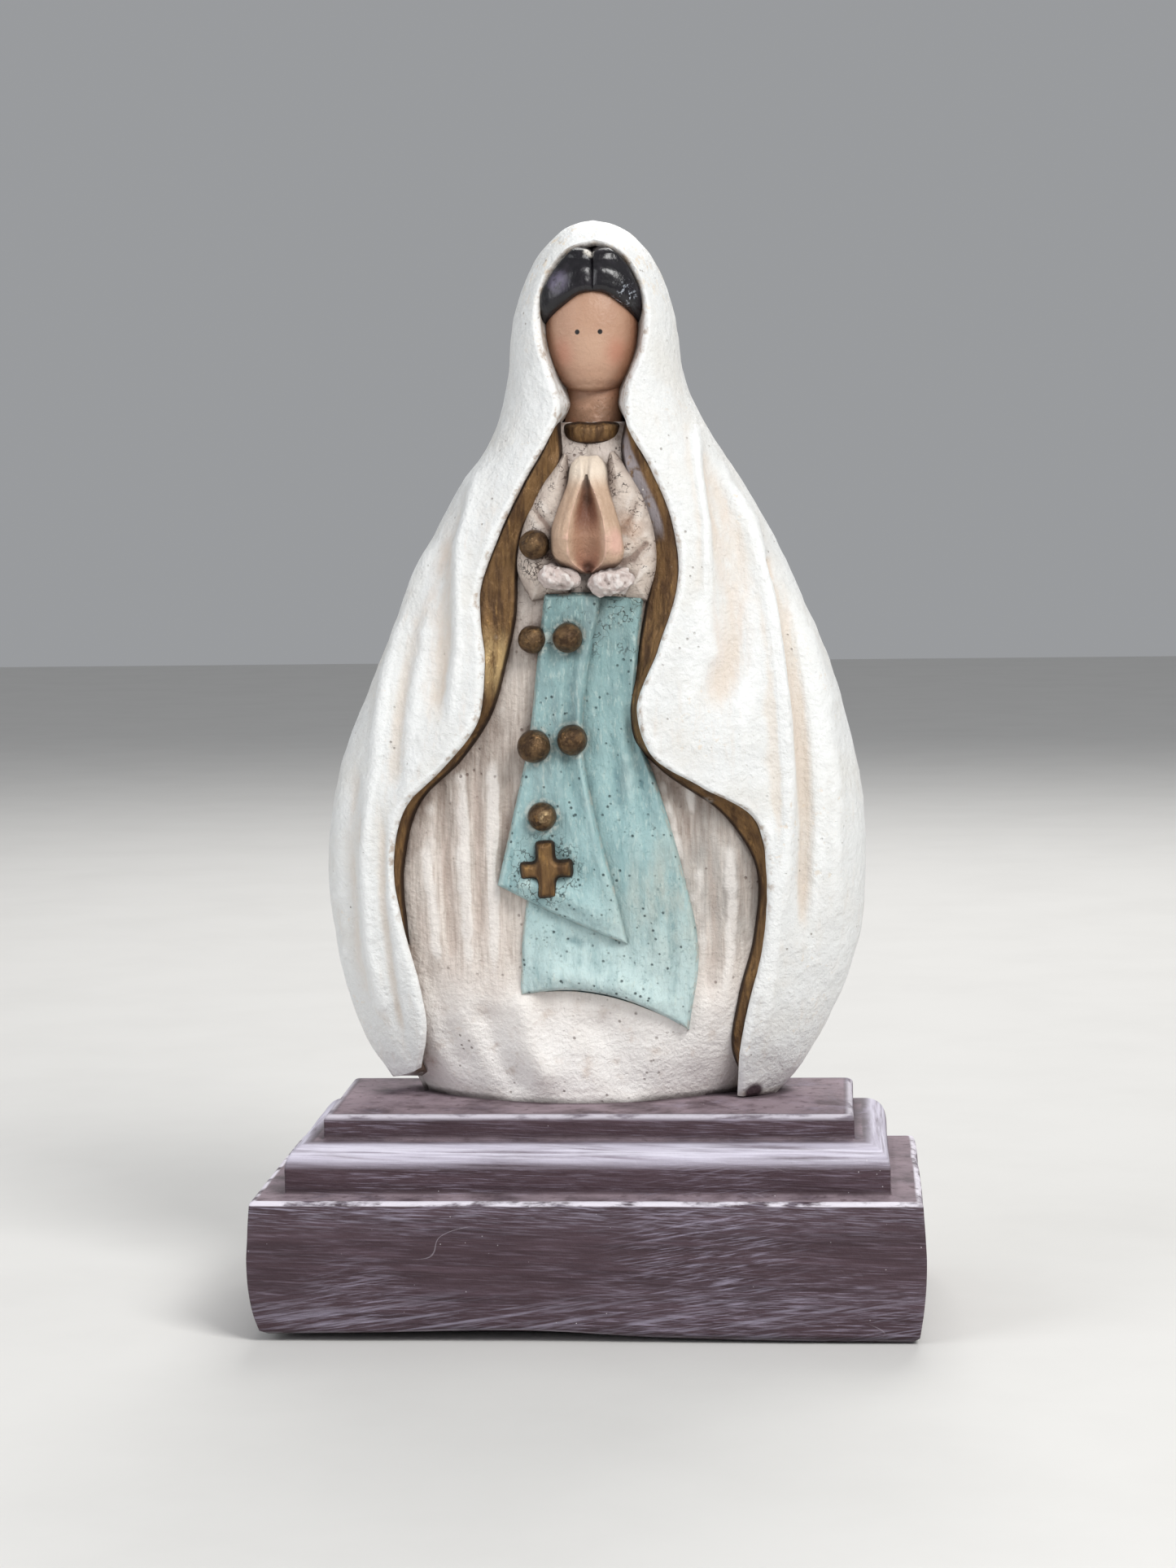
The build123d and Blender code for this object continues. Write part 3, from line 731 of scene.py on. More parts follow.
def dress_side(points):
    """Adds the modelled folds and the unevenness of the casting to one half of the cloak."""
    outer = side_steps + front_steps + 1 + lip_steps
    normal = grid_normals(points)
    facing = np.sign(np.median(normal[:, side_steps + 10, 1]))
    normal = -normal * facing
    flat = points.reshape(-1, 3)
    view = flat[:, [0, 2]]
    front = folds(view, mantle_folds).reshape(points.shape[:2])
    back = folds(view, back_folds).reshape(points.shape[:2])
    column = np.arange(points.shape[1])
    front_share = np.clip((column - side_steps - 1) / 10, 0, 1)
    back_share = np.clip((side_steps - 8 - column) / 16, 0, 1) * np.clip(column / 3, 0.4, 1)
    depth = front * front_share + back * back_share
    rough = 0.13 * lumps(flat, 8.0, 21) + 0.09 * lumps(flat, 2.6, 22) + 0.05 * lumps(flat, 1.1, 23)
    wash = front * front_share
    depth = depth - rough.reshape(points.shape[:2])
    fade = np.clip((outer - column) / 3, 0, 1)
    seam = np.clip((column + 1) / 6, 0, 1)
    shown = depth * fade
    moved = points - normal * shown[:, :, None]
    moved[:, 0] = points[:, 0] - np.array([0, 1, 0]) * shown[:, 0][:, None]
    mix = seam[None, :, None]
    plain = points - np.array([0, 1, 0]) * shown[:, :, None]
    back_zone = (column < 6)[None, :, None]
    moved = np.where(back_zone, plain * (1 - mix) + moved * mix, moved)
    return moved, wash


half_left = mantle_side(mantle_left, -1)
half_right = mantle_side(mantle_right, 1)
half_left, wash_left = dress_side(half_left)
half_right, wash_right = dress_side(half_right)
crown = (half_left[-1] + half_right[-1]) / 2
half_left[-1] = crown
mantle_grid = np.concatenate([half_left, half_right[-2::-1]])
seam_columns = (0, mantle_grid.shape[1] - 1)
for column in seam_columns:
    paired = (mantle_grid[:, column] + mantle_grid[::-1, column]) / 2
    mantle_grid[:, column] = paired
mantle_wash = np.concatenate([wash_left, wash_right[-2::-1]])
rows, columns = mantle_grid.shape[:2]
foot_loop = list(range(columns)) + [(rows - 1) * columns + k for k in range(columns - 2, 0, -1)]
lip_first = side_steps + front_steps + 1
lip_mask = np.tile(np.clip((np.arange(columns) - lip_first + 5) / 6, 0, 1), rows)
inner_mask = np.tile(np.clip(np.arange(columns) - lip_first - lip_steps + 2, 0, 1), rows)
mantle_masks = {"wash": np.clip(mantle_wash, 0, None).ravel(), "lip": lip_mask, "inner": inner_mask}
mantle = make_piece("mantle_painted", mantle_grid.reshape(-1, 3), grid_faces(rows, columns), mantle_masks,
                    [foot_loop])

white = Finish("mantle_white_chalky", tint(231, 232, 231), 0.42, 0.45)
white.coat(tint(224, 220, 212), white.noise(9, 0.40, 0.72), 0.5)
white.coat(tint(226, 208, 192), white.both(white.mask("wash", 0.15, 1.0), white.noise(1.6, 0.25, 0.70, (1, 1, 0.12))),
           0.6)
white.coat(tint(224, 210, 194), white.mask("hollow", 0.0, 0.16), 0.5)
white.coat(tint(222, 210, 198), white.both(white.noise(1.1, 0.50, 0.76, (1, 1, 0.18)), white.noise(12, 0.42, 0.62)),
           0.45)
white.coat(tint(206, 196, 186), white.noise(0.45, 0.62, 0.76), 0.4)
white.coat(tint(168, 158, 150), white.both(white.pits(1.3, 0.13, 0.06), white.noise(8, 0.48, 0.60)), 0.75)
# Painted highlight, whiter and glossier, on the raised ridges of the folds.
white.coat(tint(244, 245, 244), white.mask("hollow", -0.02, -0.10), 0.7, 0.38)
# Painted shade, with some wash, where the cloak meets the gown, the linings and the slab.
white.coat(tint(140, 118, 98), white.crevice_wash_and_shade(1.2, 0.5, 1.0), 0.5)
white.coat(tint(228, 208, 180), white.both(white.noise(1.0, 0.54, 0.66, (1, 1, 0.5), shift=4), white.level(116, 125)),
           0.6)
white.coat(tint(226, 208, 184), white.both(white.noise(0.8, 0.58, 0.68, shift=9),
                                           white.noise(10, 0.5, 0.64, shift=2)), 0.5)
white.coat(tint(150, 118, 84), white.both(white.mask("lip", 0.55, 0.95), white.noise(1.2, 0.50, 0.66),
                                          white.level(44, 52)), 0.6)
white.coat(tint(104, 78, 54), white.both(white.mask("inner", 0.3, 0.8), white.off(white.level(44, 47)),
                                         white.noise(1.2, 0.26, 0.46)), 0.9)
white.coat(tint(66, 44, 52), white.spot((19.2, -1.5, 25.6), 0.9, 1.7), 0.95)
white.raise_by(white.noise(0.8, 0.3, 0.75), 0.09)
white.raise_by(white.noise(2.2, 0.3, 0.7, shift=5), 0.10)
white.raise_by(white.both(white.pits(1.3, 0.13, 0.06), white.noise(8, 0.48, 0.60)), -0.12)
mantle.data.materials.append(white.done())
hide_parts("mantle")
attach(mantle, "root")

# ---------------------------------------------------------------- gilded linings
# The turned edges of the cloak, modelled as two narrow strips that slope from its rim back to the gown.
# Painted dark bronze and rubbed with gold, with a painted highlight on the left strip and painted shade in its creases.

gold_thickness = 1.2


def along(line, count, dense_ends=False):
    """Points spread along a smooth line, closer together at its ends if asked."""
    line = np.array(line, float)
    runs = np.concatenate([[0], np.cumsum(np.linalg.norm(np.diff(line, axis=0), axis=1))])
    t = np.linspace(0, 1, count)
    if dense_ends:
        t = (1 - np.cos(math.pi * t)) / 2
    return curve_through(t * runs[-1], np.column_stack([runs, line]))


def ruled(left, right, rows, across, bow=0.0):
    """A patch between two edges given from top to bottom; its rows bow down by bow at the foot."""
    first, last = along(left, rows, True), along(right, rows, True)
    w = ((1 - np.cos(math.pi * np.linspace(0, 1, across))) / 2)[None, :, None]
    patch = first[:, None] * (1 - w) + last[:, None] * w
    t = np.linspace(0, 1, rows)[:, None] ** 3
    patch[:, :, 1] -= bow * t * (4 * w * (1 - w))[0, :, 0][None, :]
    return patch


def border(patch):
    """The outline of a patch as one closed line."""
    return np.concatenate([patch[0], patch[1:, -1], patch[-1, -2::-1], patch[-2::-1, 0]])


def rounded_edge(distance, roll):
    """Height of a rounded edge, from 0 at the outline to 1 where the roll ends."""
    return np.sqrt(1 - (1 - np.clip(distance / roll, 0, 1)) ** 2)


def rim_faces(rows, across, closed=False):
    """Walls that join the rims of two equal grids whose points are stored one after the other."""
    index = np.arange(rows * across).reshape(rows, across)
    if closed:
        rim = index[0].tolist()
    else:
        rim = index[0].tolist() + index[1:, -1].tolist() + index[-1, -2::-1].tolist() + index[-2:0:-1, 0].tolist()
    return [[rim[k - 1], rim[k], rim[k] + index.size, rim[k - 1] + index.size] for k in range(len(rim))]


def shell_piece(name, patch, front, back, masks, closed=False, spread=6):
    """A closed shell from a patch with a front depth and a back depth at each point."""
    rows, across = patch.shape[:2]
    flat = patch.reshape(-1, 2)
    points = np.concatenate([np.column_stack([flat[:, 0], front, flat[:, 1]]),
                             np.column_stack([flat[:, 0], back, flat[:, 1]])])
    count = rows * across
    faces = grid_faces(rows, across, closed)
    faces = faces + [[k + count for k in reversed(face)] for face in faces] + rim_faces(rows, across, closed)
    return make_piece(name, points, faces, {mask: np.tile(values, 2) for mask, values in masks.items()},
                      spread=spread)


def relief_piece(name, patch, under, proud, roll, modelling=None, sunk=0.4, masks=None):
    """A low relief on another form: under gives the depth it lies on, proud how far it stands."""
    rows, across = patch.shape[:2]
    flat = patch.reshape(-1, 2)
    distance = nearest(flat, border(patch))[0]
    distance.reshape(rows, across)[[0, -1]] = 0
    distance.reshape(rows, across)[:, [0, -1]] = 0
    base = under(flat[:, 0], flat[:, 1])
    round_part = rounded_edge(distance, roll)
    front = base + sunk * 0.5 - (proud + sunk * 0.5) * round_part
    if modelling is not None:
        front = front + modelling(flat) * round_part
    back = np.where(distance == 0, front, base + sunk)
    return shell_piece(name, patch, front, back, {"edge": np.exp(-(distance / 0.45) ** 2), **(masks or {})})


def lining_piece(name, outer, inner, rows):
    """A strip that slopes from the cloak's rim down to the gown."""
    patch = ruled(outer, inner, rows, 26)
    across = patch.shape[1]
    flat = patch.reshape(-1, 2)
    share = np.tile(np.linspace(0, 1, across), rows)
    share = (1 - np.cos(math.pi * share)) / 2
    high = mantle_depth(flat[:, 0], flat[:, 1]) + 0.75
    low = gown_depth(flat[:, 0], np.minimum(flat[:, 1], 105)) - 0.75
    slope = high + (low - high) * (0.25 * share + 0.75 * share ** 2 * (3 - 2 * share))
    slope = np.minimum(slope, low)

    def under(x, z):
        return slope + gold_thickness * 0.5

    def worked(spots):
        return 0.12 * lumps(np.column_stack([spots[:, 0], spots[:, 1] * 0, spots[:, 1]]), 2.0, 31)

    height = np.interp(flat[:, 1], [91, 94, 103, 105], [0, 1, 1, 0])
    bare = np.clip((share - 0.38) / 0.14, 0, 1) * height * (flat[:, 0] > 0)
    return relief_piece(name, patch, under, gold_thickness * 0.5, 0.5, worked, gold_thickness * 0.5, {"bare": bare})


lining_left_outer = [(-3.2, 106.2), (-4.3, 103.4), (-7.3, 98), (-10.6, 91.2), (-12.6, 86), (-12.1, 77), (-12.8, 71),
                     (-16.2, 66.5), (-21.5, 61.4), (-23.4, 53.5), (-22.0, 44)]
lining_left_inner = [(-2.9, 105.6), (-2.7, 100.4), (-4.6, 96.8), (-7.1, 92.8), (-7.8, 88.0), (-8.0, 83.2),
                     (-9.2, 77.6),
                     (-11.2, 71.1), (-14.4, 66.4), (-20.0, 60.6), (-21.9, 53.5), (-21.5, 44)]
lining_right_outer = [(5.2, 106.2), (6.3, 103.3), (8.9, 98.6), (11.0, 92), (11.3, 87), (9.0, 79), (6.5, 71.6),
                      (7.9, 67.0),
                      (13.6, 63.2), (19.6, 59.5), (21.4, 52.5), (20.8, 43), (18.5, 34.8), (17.6, 28.0)]
lining_right_inner = [(4.7, 105.6), (4.3, 102.6), (5.0, 98.6), (6.8, 94.8), (7.9, 90.4), (6.9, 83), (5.8, 77.0),
                      (5.1, 72),
                      (5.6, 68.2), (8.6, 64.8), (16.2, 59), (19.5, 53.5), (19.3, 45), (17.4, 37.6), (16.6,
                                                                                                     30.5), (17.3,
                                                                                                             28.0)]
lining_left = lining_piece("lining_left_gilded", lining_left_outer, lining_left_inner, 190)
lining_right = lining_piece("lining_right_gilded", lining_right_outer, lining_right_inner, 230)

gold = Finish("gold_over_bronze", tint(122, 92, 58), 0.40)
gold.shader.inputs["Metallic"].default_value = 0.5
gold.coat(tint(66, 44, 28), gold.noise(1.3, 0.42, 0.64, (1, 1, 0.16)), 0.8)
gold.coat(tint(168, 130, 78), gold.both(gold.noise(0.6, 0.50, 0.70, (1, 1, 0.2), shift=3), gold.noise(6, 0.38, 0.6)),
          0.7, 0.35)
# Painted highlight: a pale gold gleam on the left strip.
gold.coat(tint(236, 204, 148), gold.both(gold.spot((-11.2, -6.0, 77.6), 1.0, 5.0),
                                         gold.noise(0.9, 0.32, 0.56, (1, 1, 0.3))), 0.55)
gold.coat(tint(162, 156, 160), gold.both(gold.mask("bare"), gold.noise(1.0, 0.26, 0.5)), 0.85, 0.6)
gold.coat(tint(40, 26, 20), gold.mask("edge", 0.25, 0.80), 0.85, 0.6)
# Painted shade, with some wash, in the creases and where the gilding meets its neighbours.
gold.coat(tint(36, 24, 18), gold.crevice_wash_and_shade(1.0, 0.55, 1.0), 0.6)
gold.coat(tint(236, 230, 220), gold.both(gold.pits(2.6, 0.07, 0.04), gold.noise(4, 0.5, 0.6)), 0.9, 0.6)
gold.coat(tint(238, 233, 226), gold.both(gold.spot((-10.6, -6.0, 80.4), 0.3, 0.9), gold.noise(0.5, 0.35, 0.5)), 0.95)
gold.coat(tint(238, 233, 226), gold.both(gold.spot((14.6, -5.8, 61.9), 0.5, 1.3), gold.noise(0.5, 0.40, 0.5)), 0.95)
gold.raise_by(gold.noise(0.5, 0.3, 0.75, (1, 1, 0.4)), 0.10)
gold_paint = gold.done()
for strip, node in ((lining_left, "mantle_lining_left"), (lining_right, "mantle_lining_right")):
    strip.data.materials.append(gold_paint)
    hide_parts(node)
    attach(strip, "root")

# ---------------------------------------------------------------- sash
# Two overlapping aqua panels that hang down the front of the gown, in low relief
# with long soft pleats. The foot of each is undercut, so it throws a shadow.

lower_left = [(-3.9, 85.4), (-4.2, 70), (-5.6, 57), (-7.6, 47), (-8.2, 38.1)]
lower_right = [(7.0, 85.4), (6.2, 77), (5.8, 71), (8.3, 63), (10.9, 54), (12.9, 43), (11.6, 33.8)]
upper_left = [(-4.7, 85.6), (-5.6, 78), (-6.9, 67.5), (-8.7, 59.5), (-10.6, 51.4)]
upper_right = [(2.3, 85.6), (0.5, 76), (-0.2, 68), (1.2, 59.5), (3.2, 51.5), (4.9, 44.2)]
lower_pleats = [
    ([(4.6, 85), (4.4, 76), (5.6, 68), (7.4, 58)], 0.8, 0.40),
    ([(5.8, 84), (5.6, 74), (7.4, 64), (10.4, 52)], 0.8, -0.30),
    ([(2.9, 84), (2.4, 74), (3.4, 66), (4.8, 56)], 0.9, 0.40),
    ([(3.6, 72), (5.4, 60), (7.6, 48), (9.6, 38)], 1.2, -0.30),
    ([(5.4, 45.5), (0.6, 44.0), (-4.0, 45.6)], 1.1, 0.25),
    ([(9.6, 50), (10.4, 42), (10.0, 37)], 1.0, 0.25),
    ([(-7.6, 40.2), (-2.0, 40.6), (4.0, 39.4), (10.4, 35.6)], 1.6, -0.95),
]
upper_pleats = [
    ([(-3.4, 85), (-3.6, 74), (-4.4, 66)], 0.9, 0.30),
    ([(-0.7, 85), (-1.9, 74), (-2.0, 66), (-0.6, 57)], 0.7, 0.45),
    ([(0.6, 84), (-0.9, 74), (-0.6, 66), (1.0, 56), (3.4, 47)], 0.6, -0.35),
    ([(-2.0, 80), (-3.0, 68), (-3.4, 58)], 0.9, -0.25),
    ([(-9.6, 52.8), (-5.0, 51.2), (0.0, 48.9), (3.6, 46.0)], 1.3, -0.75),
    ([(-8.6, 56.4), (-2.0, 54.0), (1.6, 51.6)], 1.4, 0.25),
]


def gown_front(x, z):
    """The gown's plain form beneath the relief."""
    return form_depth(x, z, gown_rows, gown_roundness)


def pleated(pleats, seed):
    """The modelling of a panel: its pleats and the marks of the tool."""
    def depth(spots):
        flat = np.column_stack([spots[:, 0], spots[:, 0] * 0, spots[:, 1]])
        return folds(spots, pleats) + 0.13 * lumps(flat * [1, 1, 0.35], 1.7, seed) + 0.05 * lumps(flat, 0.8, seed + 1)
    return depth


lower_panel = ruled(lower_left, lower_right, 150, 74, -2.4)
upper_panel = ruled(upper_left, upper_right, 130, 60, 0.3)
sash_lower = relief_piece("sash_lower_aqua", lower_panel, gown_front, 0.95, 0.6, pleated(lower_pleats, 41), 0.6)
sash_upper = relief_piece("sash_upper_aqua", upper_panel, gown_front, 1.75, 0.65, pleated(upper_pleats, 43), 0.2)

# Place and radius of each rosary bead. The sash paint needs them, and the beads themselves come later.
bead_places = [(-5.7, -7.6, 91.2, 1.75), (-6.1, -7.7, 80.2, 1.65), (-1.9, -8.6, 80.4, 1.75),
               (-6.0, -8.8, 67.8, 1.95), (-1.5, -8.9, 68.5, 1.8), (-5.1, -9.1, 59.6, 1.7)]
cross_centre = (-4.7, 53.4)

aqua = Finish("sash_aqua_washed_and_shaded", tint(160, 192, 193), 0.54)
aqua.coat(tint(120, 150, 150), aqua.level(54, 82), 0.55)
aqua.coat(tint(104, 124, 120), aqua.both(aqua.level(76, 87), aqua.noise(1.8, 0.3, 0.6)), 0.6)
aqua.coat(tint(212, 230, 228), aqua.off(aqua.level(38, 54)), 0.75)
aqua.coat(tint(184, 186, 176), aqua.both(aqua.spot((10.5, -7.5, 50), 1, 11),
                                         aqua.noise(2.0, 0.30, 0.62, (1, 1, 0.25))), 0.75)
aqua.coat(tint(128, 146, 148), aqua.both(aqua.noise(3.2, 0.44, 0.66, (1, 1, 0.4), shift=11), aqua.level(50, 60)), 0.5)
aqua.coat(tint(112, 148, 152), aqua.noise(1.6, 0.42, 0.72, (1, 1, 0.22)), 0.5)
# Painted shade in the hollows of the pleats.
aqua.coat(tint(72, 114, 122), aqua.mask("hollow", 0.03, 0.15), 0.75)
aqua.coat(tint(92, 132, 136), aqua.noise(0.6, 0.56, 0.76, (1, 1, 0.10), shift=5), 0.4)
# Painted highlight on the raised ridges of the pleats.
aqua.coat(tint(204, 224, 220), aqua.mask("hollow", -0.03, -0.14), 0.6)
aqua.coat(tint(212, 220, 210), aqua.both(aqua.noise(0.6, 0.56, 0.72, (1, 1, 0.25), shift=8),
                                         aqua.noise(7, 0.42, 0.6)), 0.45)
for x, y, z, radius in bead_places[1:]:
    ring = aqua.both(aqua.spot((x, y, z), radius + 0.2, radius + 0.7), aqua.noise(0.9, 0.42, 0.55))
    aqua.coat(tint(222, 230, 222), ring, 0.8)
aqua.coat(tint(196, 214, 208), aqua.noise(0.32, 0.52, 0.68, (1, 1, 0.3), shift=13), 0.45)
aqua.coat(tint(108, 138, 140), aqua.both(aqua.noise(0.4, 0.54, 0.68, shift=15), aqua.noise(5, 0.40, 0.60)), 0.5)
worn = aqua.both(aqua.pits(0.95, 0.22, 0.09), aqua.noise(3.4, 0.44, 0.58))
aqua.coat(tint(50, 68, 70), worn, 0.85)
aqua.coat(tint(44, 52, 50), aqua.both(aqua.spot((-4.7, -9.4, 53.4), 3.0, 5.4), aqua.scratches(1.0, 0.035)), 0.8)
aqua.coat(tint(40, 44, 42), aqua.both(aqua.level(77, 80), aqua.scratches(1.1, 0.03), aqua.noise(2.5, 0.42, 0.56)),
          0.85)
# Painted shade, with some wash, under the hems and round the beads, the cross and the hands.
aqua.coat(tint(58, 78, 78), aqua.crevice_wash_and_shade(1.4, 0.45, 1.0), 0.6)
aqua.coat(tint(188, 178, 164), aqua.both(aqua.mask("edge", 0.4, 0.9), aqua.noise(1.4, 0.48, 0.62)), 0.55)
aqua.raise_by(aqua.noise(0.6, 0.3, 0.75, (1, 1, 0.5)), 0.10)
aqua.raise_by(worn, -0.15)
aqua_paint = aqua.done()
for panel, node in ((sash_lower, "sash_lower"), (sash_upper, "sash_upper")):
    panel.data.materials.append(aqua_paint)
    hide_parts(node)
    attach(panel, "root")

# ---------------------------------------------------------------- sleeves
# The arms inside their sleeves: two soft swellings on the bodice that meet at the hands,
# the same painted cast as the gown.

sleeve_left_outer = [(-2.4, 101.8), (-5.2, 98.2), (-7.4, 93.0), (-7.9, 88.0), (-6.2, 84.6)]
sleeve_left_inner = [(-2.0, 101.6), (-1.2, 96), (-1.0, 90), (-1.6, 85.2)]
sleeve_right_outer = [(3.5, 102.0), (6.2, 98.6), (8.4, 93.0), (8.7, 88.0), (7.4, 84.4)]
sleeve_right_inner = [(3.0, 101.8), (1.8, 96), (1.6, 90), (2.2, 85.0)]
sleeve_creases = [
    ([(-7.0, 92.5), (-4.6, 90.6), (-2.4, 88.8)], 0.7, 0.5),
    ([(-6.4, 96.2), (-4.6, 93.8), (-3.0, 91.8)], 0.6, 0.35),
    ([(8.0, 92.0), (5.8, 89.6), (3.6, 88.6)], 0.7, 0.5),
    ([(6.6, 97.0), (5.6, 94.2), (4.0, 92.0)], 0.6, 0.35),
    ([(7.9, 89.0), (6.2, 87.0), (4.4, 86.2)], 0.6, -0.3),
]
sleeve_left = relief_piece("sleeve_left_painted", ruled(sleeve_left_outer, sleeve_left_inner, 90, 50), gown_front,
                           1.8, 2.4,
                           pleated(sleeve_creases, 51), 0.2)
sleeve_right = relief_piece("sleeve_right_painted", ruled(sleeve_right_outer, sleeve_right_inner, 90, 50), gown_front,
                            1.8, 2.4,
                            pleated(sleeve_creases, 53), 0.2)

bodice = Finish("bodice_grey_mauve", tint(214, 200, 188), 0.56)
bodice.coat(tint(182, 166, 156), bodice.noise(1.6, 0.38, 0.66), 0.6)
bodice.coat(tint(122, 96, 82), bodice.mask("hollow", 0.01, 0.10), 0.7)
# Painted highlight on the raised creases of the sleeves.
bodice.coat(tint(234, 226, 218), bodice.mask("hollow", -0.02, -0.10), 0.6)
bodice.coat(tint(42, 32, 28), bodice.both(bodice.scratches(0.9, 0.03), bodice.noise(2.2, 0.46, 0.58)), 0.85)
bodice.coat(tint(36, 26, 22), bodice.both(bodice.spot((-5.0, -7.4, 89.6), 1.6, 3.8), bodice.scratches(0.8, 0.05)),
            0.85)
bodice.coat(tint(206, 168, 140), bodice.both(bodice.spot((4.6, -7.0, 92.5), 0.8, 3.4), bodice.noise(1.6, 0.3, 0.6)),
            0.5)
# Painted shade, with some wash, where the sleeves meet the gown, the hands and the cuffs.
bodice.coat(tint(80, 58, 48), bodice.crevice_wash_and_shade(2.2, 0.40, 1.0), 0.75)
bodice.raise_by(bodice.noise(0.6, 0.3, 0.75), 0.12)
bodice_paint = bodice.done()
for sleeve, node in ((sleeve_left, "sleeve_left"), (sleeve_right, "sleeve_right")):
    sleeve.data.materials.append(bodice_paint)
    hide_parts(node)
    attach(sleeve, "root")

# ---------------------------------------------------------------- head
# A plain egg of a head on a short neck, set into the gown's collar under the hood, with painted
# shade where the hood and chin close over it and a painted highlight on the front of the face.
# The face is left blank like a peg doll's, with two dots for eyes and a little blush.

# Head: height, left, right, front, back.
head_rows = [
    (108.8, 0.1, 1.4, -1.2, 2.0),
    (109.1, -1.6, 3.1, -2.6, 3.6),
    (109.8, -2.9, 4.4, -3.5, 4.8),
    (111.2, -4.0, 5.5, -4.2, 5.8),
    (113.2, -4.75, 6.25, -4.6, 6.5),
    (115.8, -5.0, 6.5, -4.7, 6.9),
    (118.5, -4.9, 6.4, -4.5, 6.9),
    (121.0, -4.3, 5.8, -3.8, 6.5),
    (123.0, -3.2, 4.7, -2.6, 5.5),
    (124.2, -1.7, 3.2, -0.9, 3.9),
    (124.6, 0.4, 1.1, 1.0, 1.8),
]
# Neck: height, half width, front, back.
neck_rows = [(99.5, 3.5, -2.4, 4.7), (104.0, 3.5, -2.3, 4.7), (106.0, 3.45, -2.1, 4.6), (109.0, 3.5, -1.8, 4.6),
             (112.0, 3.6, -1.6, 4.6)]
head_middle_x = 0.75
head_middle_y = 1.2


def head_surface(z, turn, grown=0.0):
    """A point on the head at a height and a bearing, grown outwards by a thickness."""
    left, right, front, rear = np.moveaxis(curve_through(z, head_rows), -1, 0)
    middle, half = (left + right) / 2, (right - left) / 2 + grown
    reach = np.where(np.sin(turn) < 0, head_middle_y - front, rear - head_middle_y) + grown
    return np.stack([middle + half * np.cos(turn), head_middle_y + reach * np.sin(turn), z], axis=-1)


chin_steps = 109.8 - np.cos(np.linspace(0, math.pi / 2, 12))[:-1]
crown_steps = 122.5 + 2.1 * np.sin(np.linspace(0.08, math.pi / 2, 14))
head_steps = np.concatenate([chin_steps, np.linspace(109.8, 122.5, 56), crown_steps])
around_head = 96
head_turns = np.linspace(0, 2 * math.pi, around_head + 1)[:-1]
head_z, head_turn = np.meshgrid(head_steps, head_turns, indexing="ij")
egg_points = head_surface(head_z, head_turn).reshape(-1, 3)
egg_points[:, 1] += 0.04 * lumps(egg_points, 2.2, 61)
neck_steps = np.linspace(99.5, 112.0, 30)
neck_z, neck_turn = np.meshgrid(neck_steps, head_turns, indexing="ij")
half_width, neck_front, neck_back = np.moveaxis(curve_through(neck_z, neck_rows), -1, 0)
neck_reach = np.where(np.sin(neck_turn) < 0, head_middle_y - neck_front, neck_back - head_middle_y)
neck_points = np.stack([head_middle_x + half_width * np.cos(neck_turn),
                        head_middle_y + neck_reach * np.sin(neck_turn), neck_z], axis=-1).reshape(-1, 3)
egg_count, neck_last = len(egg_points), len(egg_points) + (len(neck_steps) - 1) * around_head
egg_last = (len(head_steps) - 1) * around_head
head_faces = grid_faces(len(head_steps), around_head, True)
head_faces += [[k + egg_count for k in face] for face in grid_faces(len(neck_steps), around_head, True)]
head = make_piece("head_painted", np.concatenate([egg_points, neck_points]), head_faces, None,
                  [range(around_head), range(egg_last, egg_last + around_head),
                   range(egg_count, egg_count + around_head), range(neck_last, neck_last + around_head)])

skin = Finish("skin_peach_blushed", tint(188, 150, 126), 0.35)
skin.coat(tint(174, 132, 108), skin.noise(3.0, 0.38, 0.70), 0.45)
skin.coat(tint(188, 118, 96), skin.either(skin.spot((-2.6, -3.6, 113.4), 0.4, 2.6),
                                          skin.spot((4.1, -3.6, 113.4), 0.4, 2.6)), 0.45)
# Painted shade where the hood, the hair and the collar close in round the face and neck.
skin.coat(tint(126, 84, 60), skin.crevice_wash_and_shade(3.0, 0.30, 1.0), 0.85)
# Painted shadow on the neck under the chin.
skin.coat(tint(134, 100, 76), skin.both(skin.off(skin.level(107.0, 109.2)), skin.noise(1.2, 0.25, 0.60)), 0.8)
skin.coat(tint(70, 46, 36), skin.both(skin.off(skin.level(107.0, 109.4)), skin.pits(0.9, 0.16, 0.08),
                                      skin.noise(2, 0.45, 0.6)), 0.7)
# Painted highlight on the front of the face.
skin.coat(tint(206, 172, 148), skin.spot((0.9, -5.2, 113.6), 0.8, 3.4), 0.45)
eye_level = 115.8
for eye_x in (-0.6, 2.1):
    skin.coat(tint(26, 20, 20), skin.spot((eye_x, -4.6, eye_level), 0.26, 0.34), 1.0, 0.3)
skin.raise_by(skin.noise(0.5, 0.3, 0.8), 0.05)
head.data.materials.append(skin.done())
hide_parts("head")
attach(head, "root")

# ---------------------------------------------------------------- hair
# Two smooth lobes of hair combed down from a middle parting under the hood,
# painted glossy black in one coat, with a painted lilac reflection and painted white glints on it.

hair_thickness = 1.45
hairline = [(0.0, 120.5), (0.08, 120.3), (0.2, 119.0), (0.38, 117.0), (0.5, 116.0), (0.65, 114.8), (1.0, 113.0)]
# Inside of the hood: height, left, right.
hood_opening = [(112, -6.0, 7.6), (117, -5.6, 7.4), (120, -5.1, 7.0), (122, -4.1, 6.1), (124, -2.6, 4.9),
                (125.4, -1.2, 3.4), (126.6, 0.4, 1.9)]


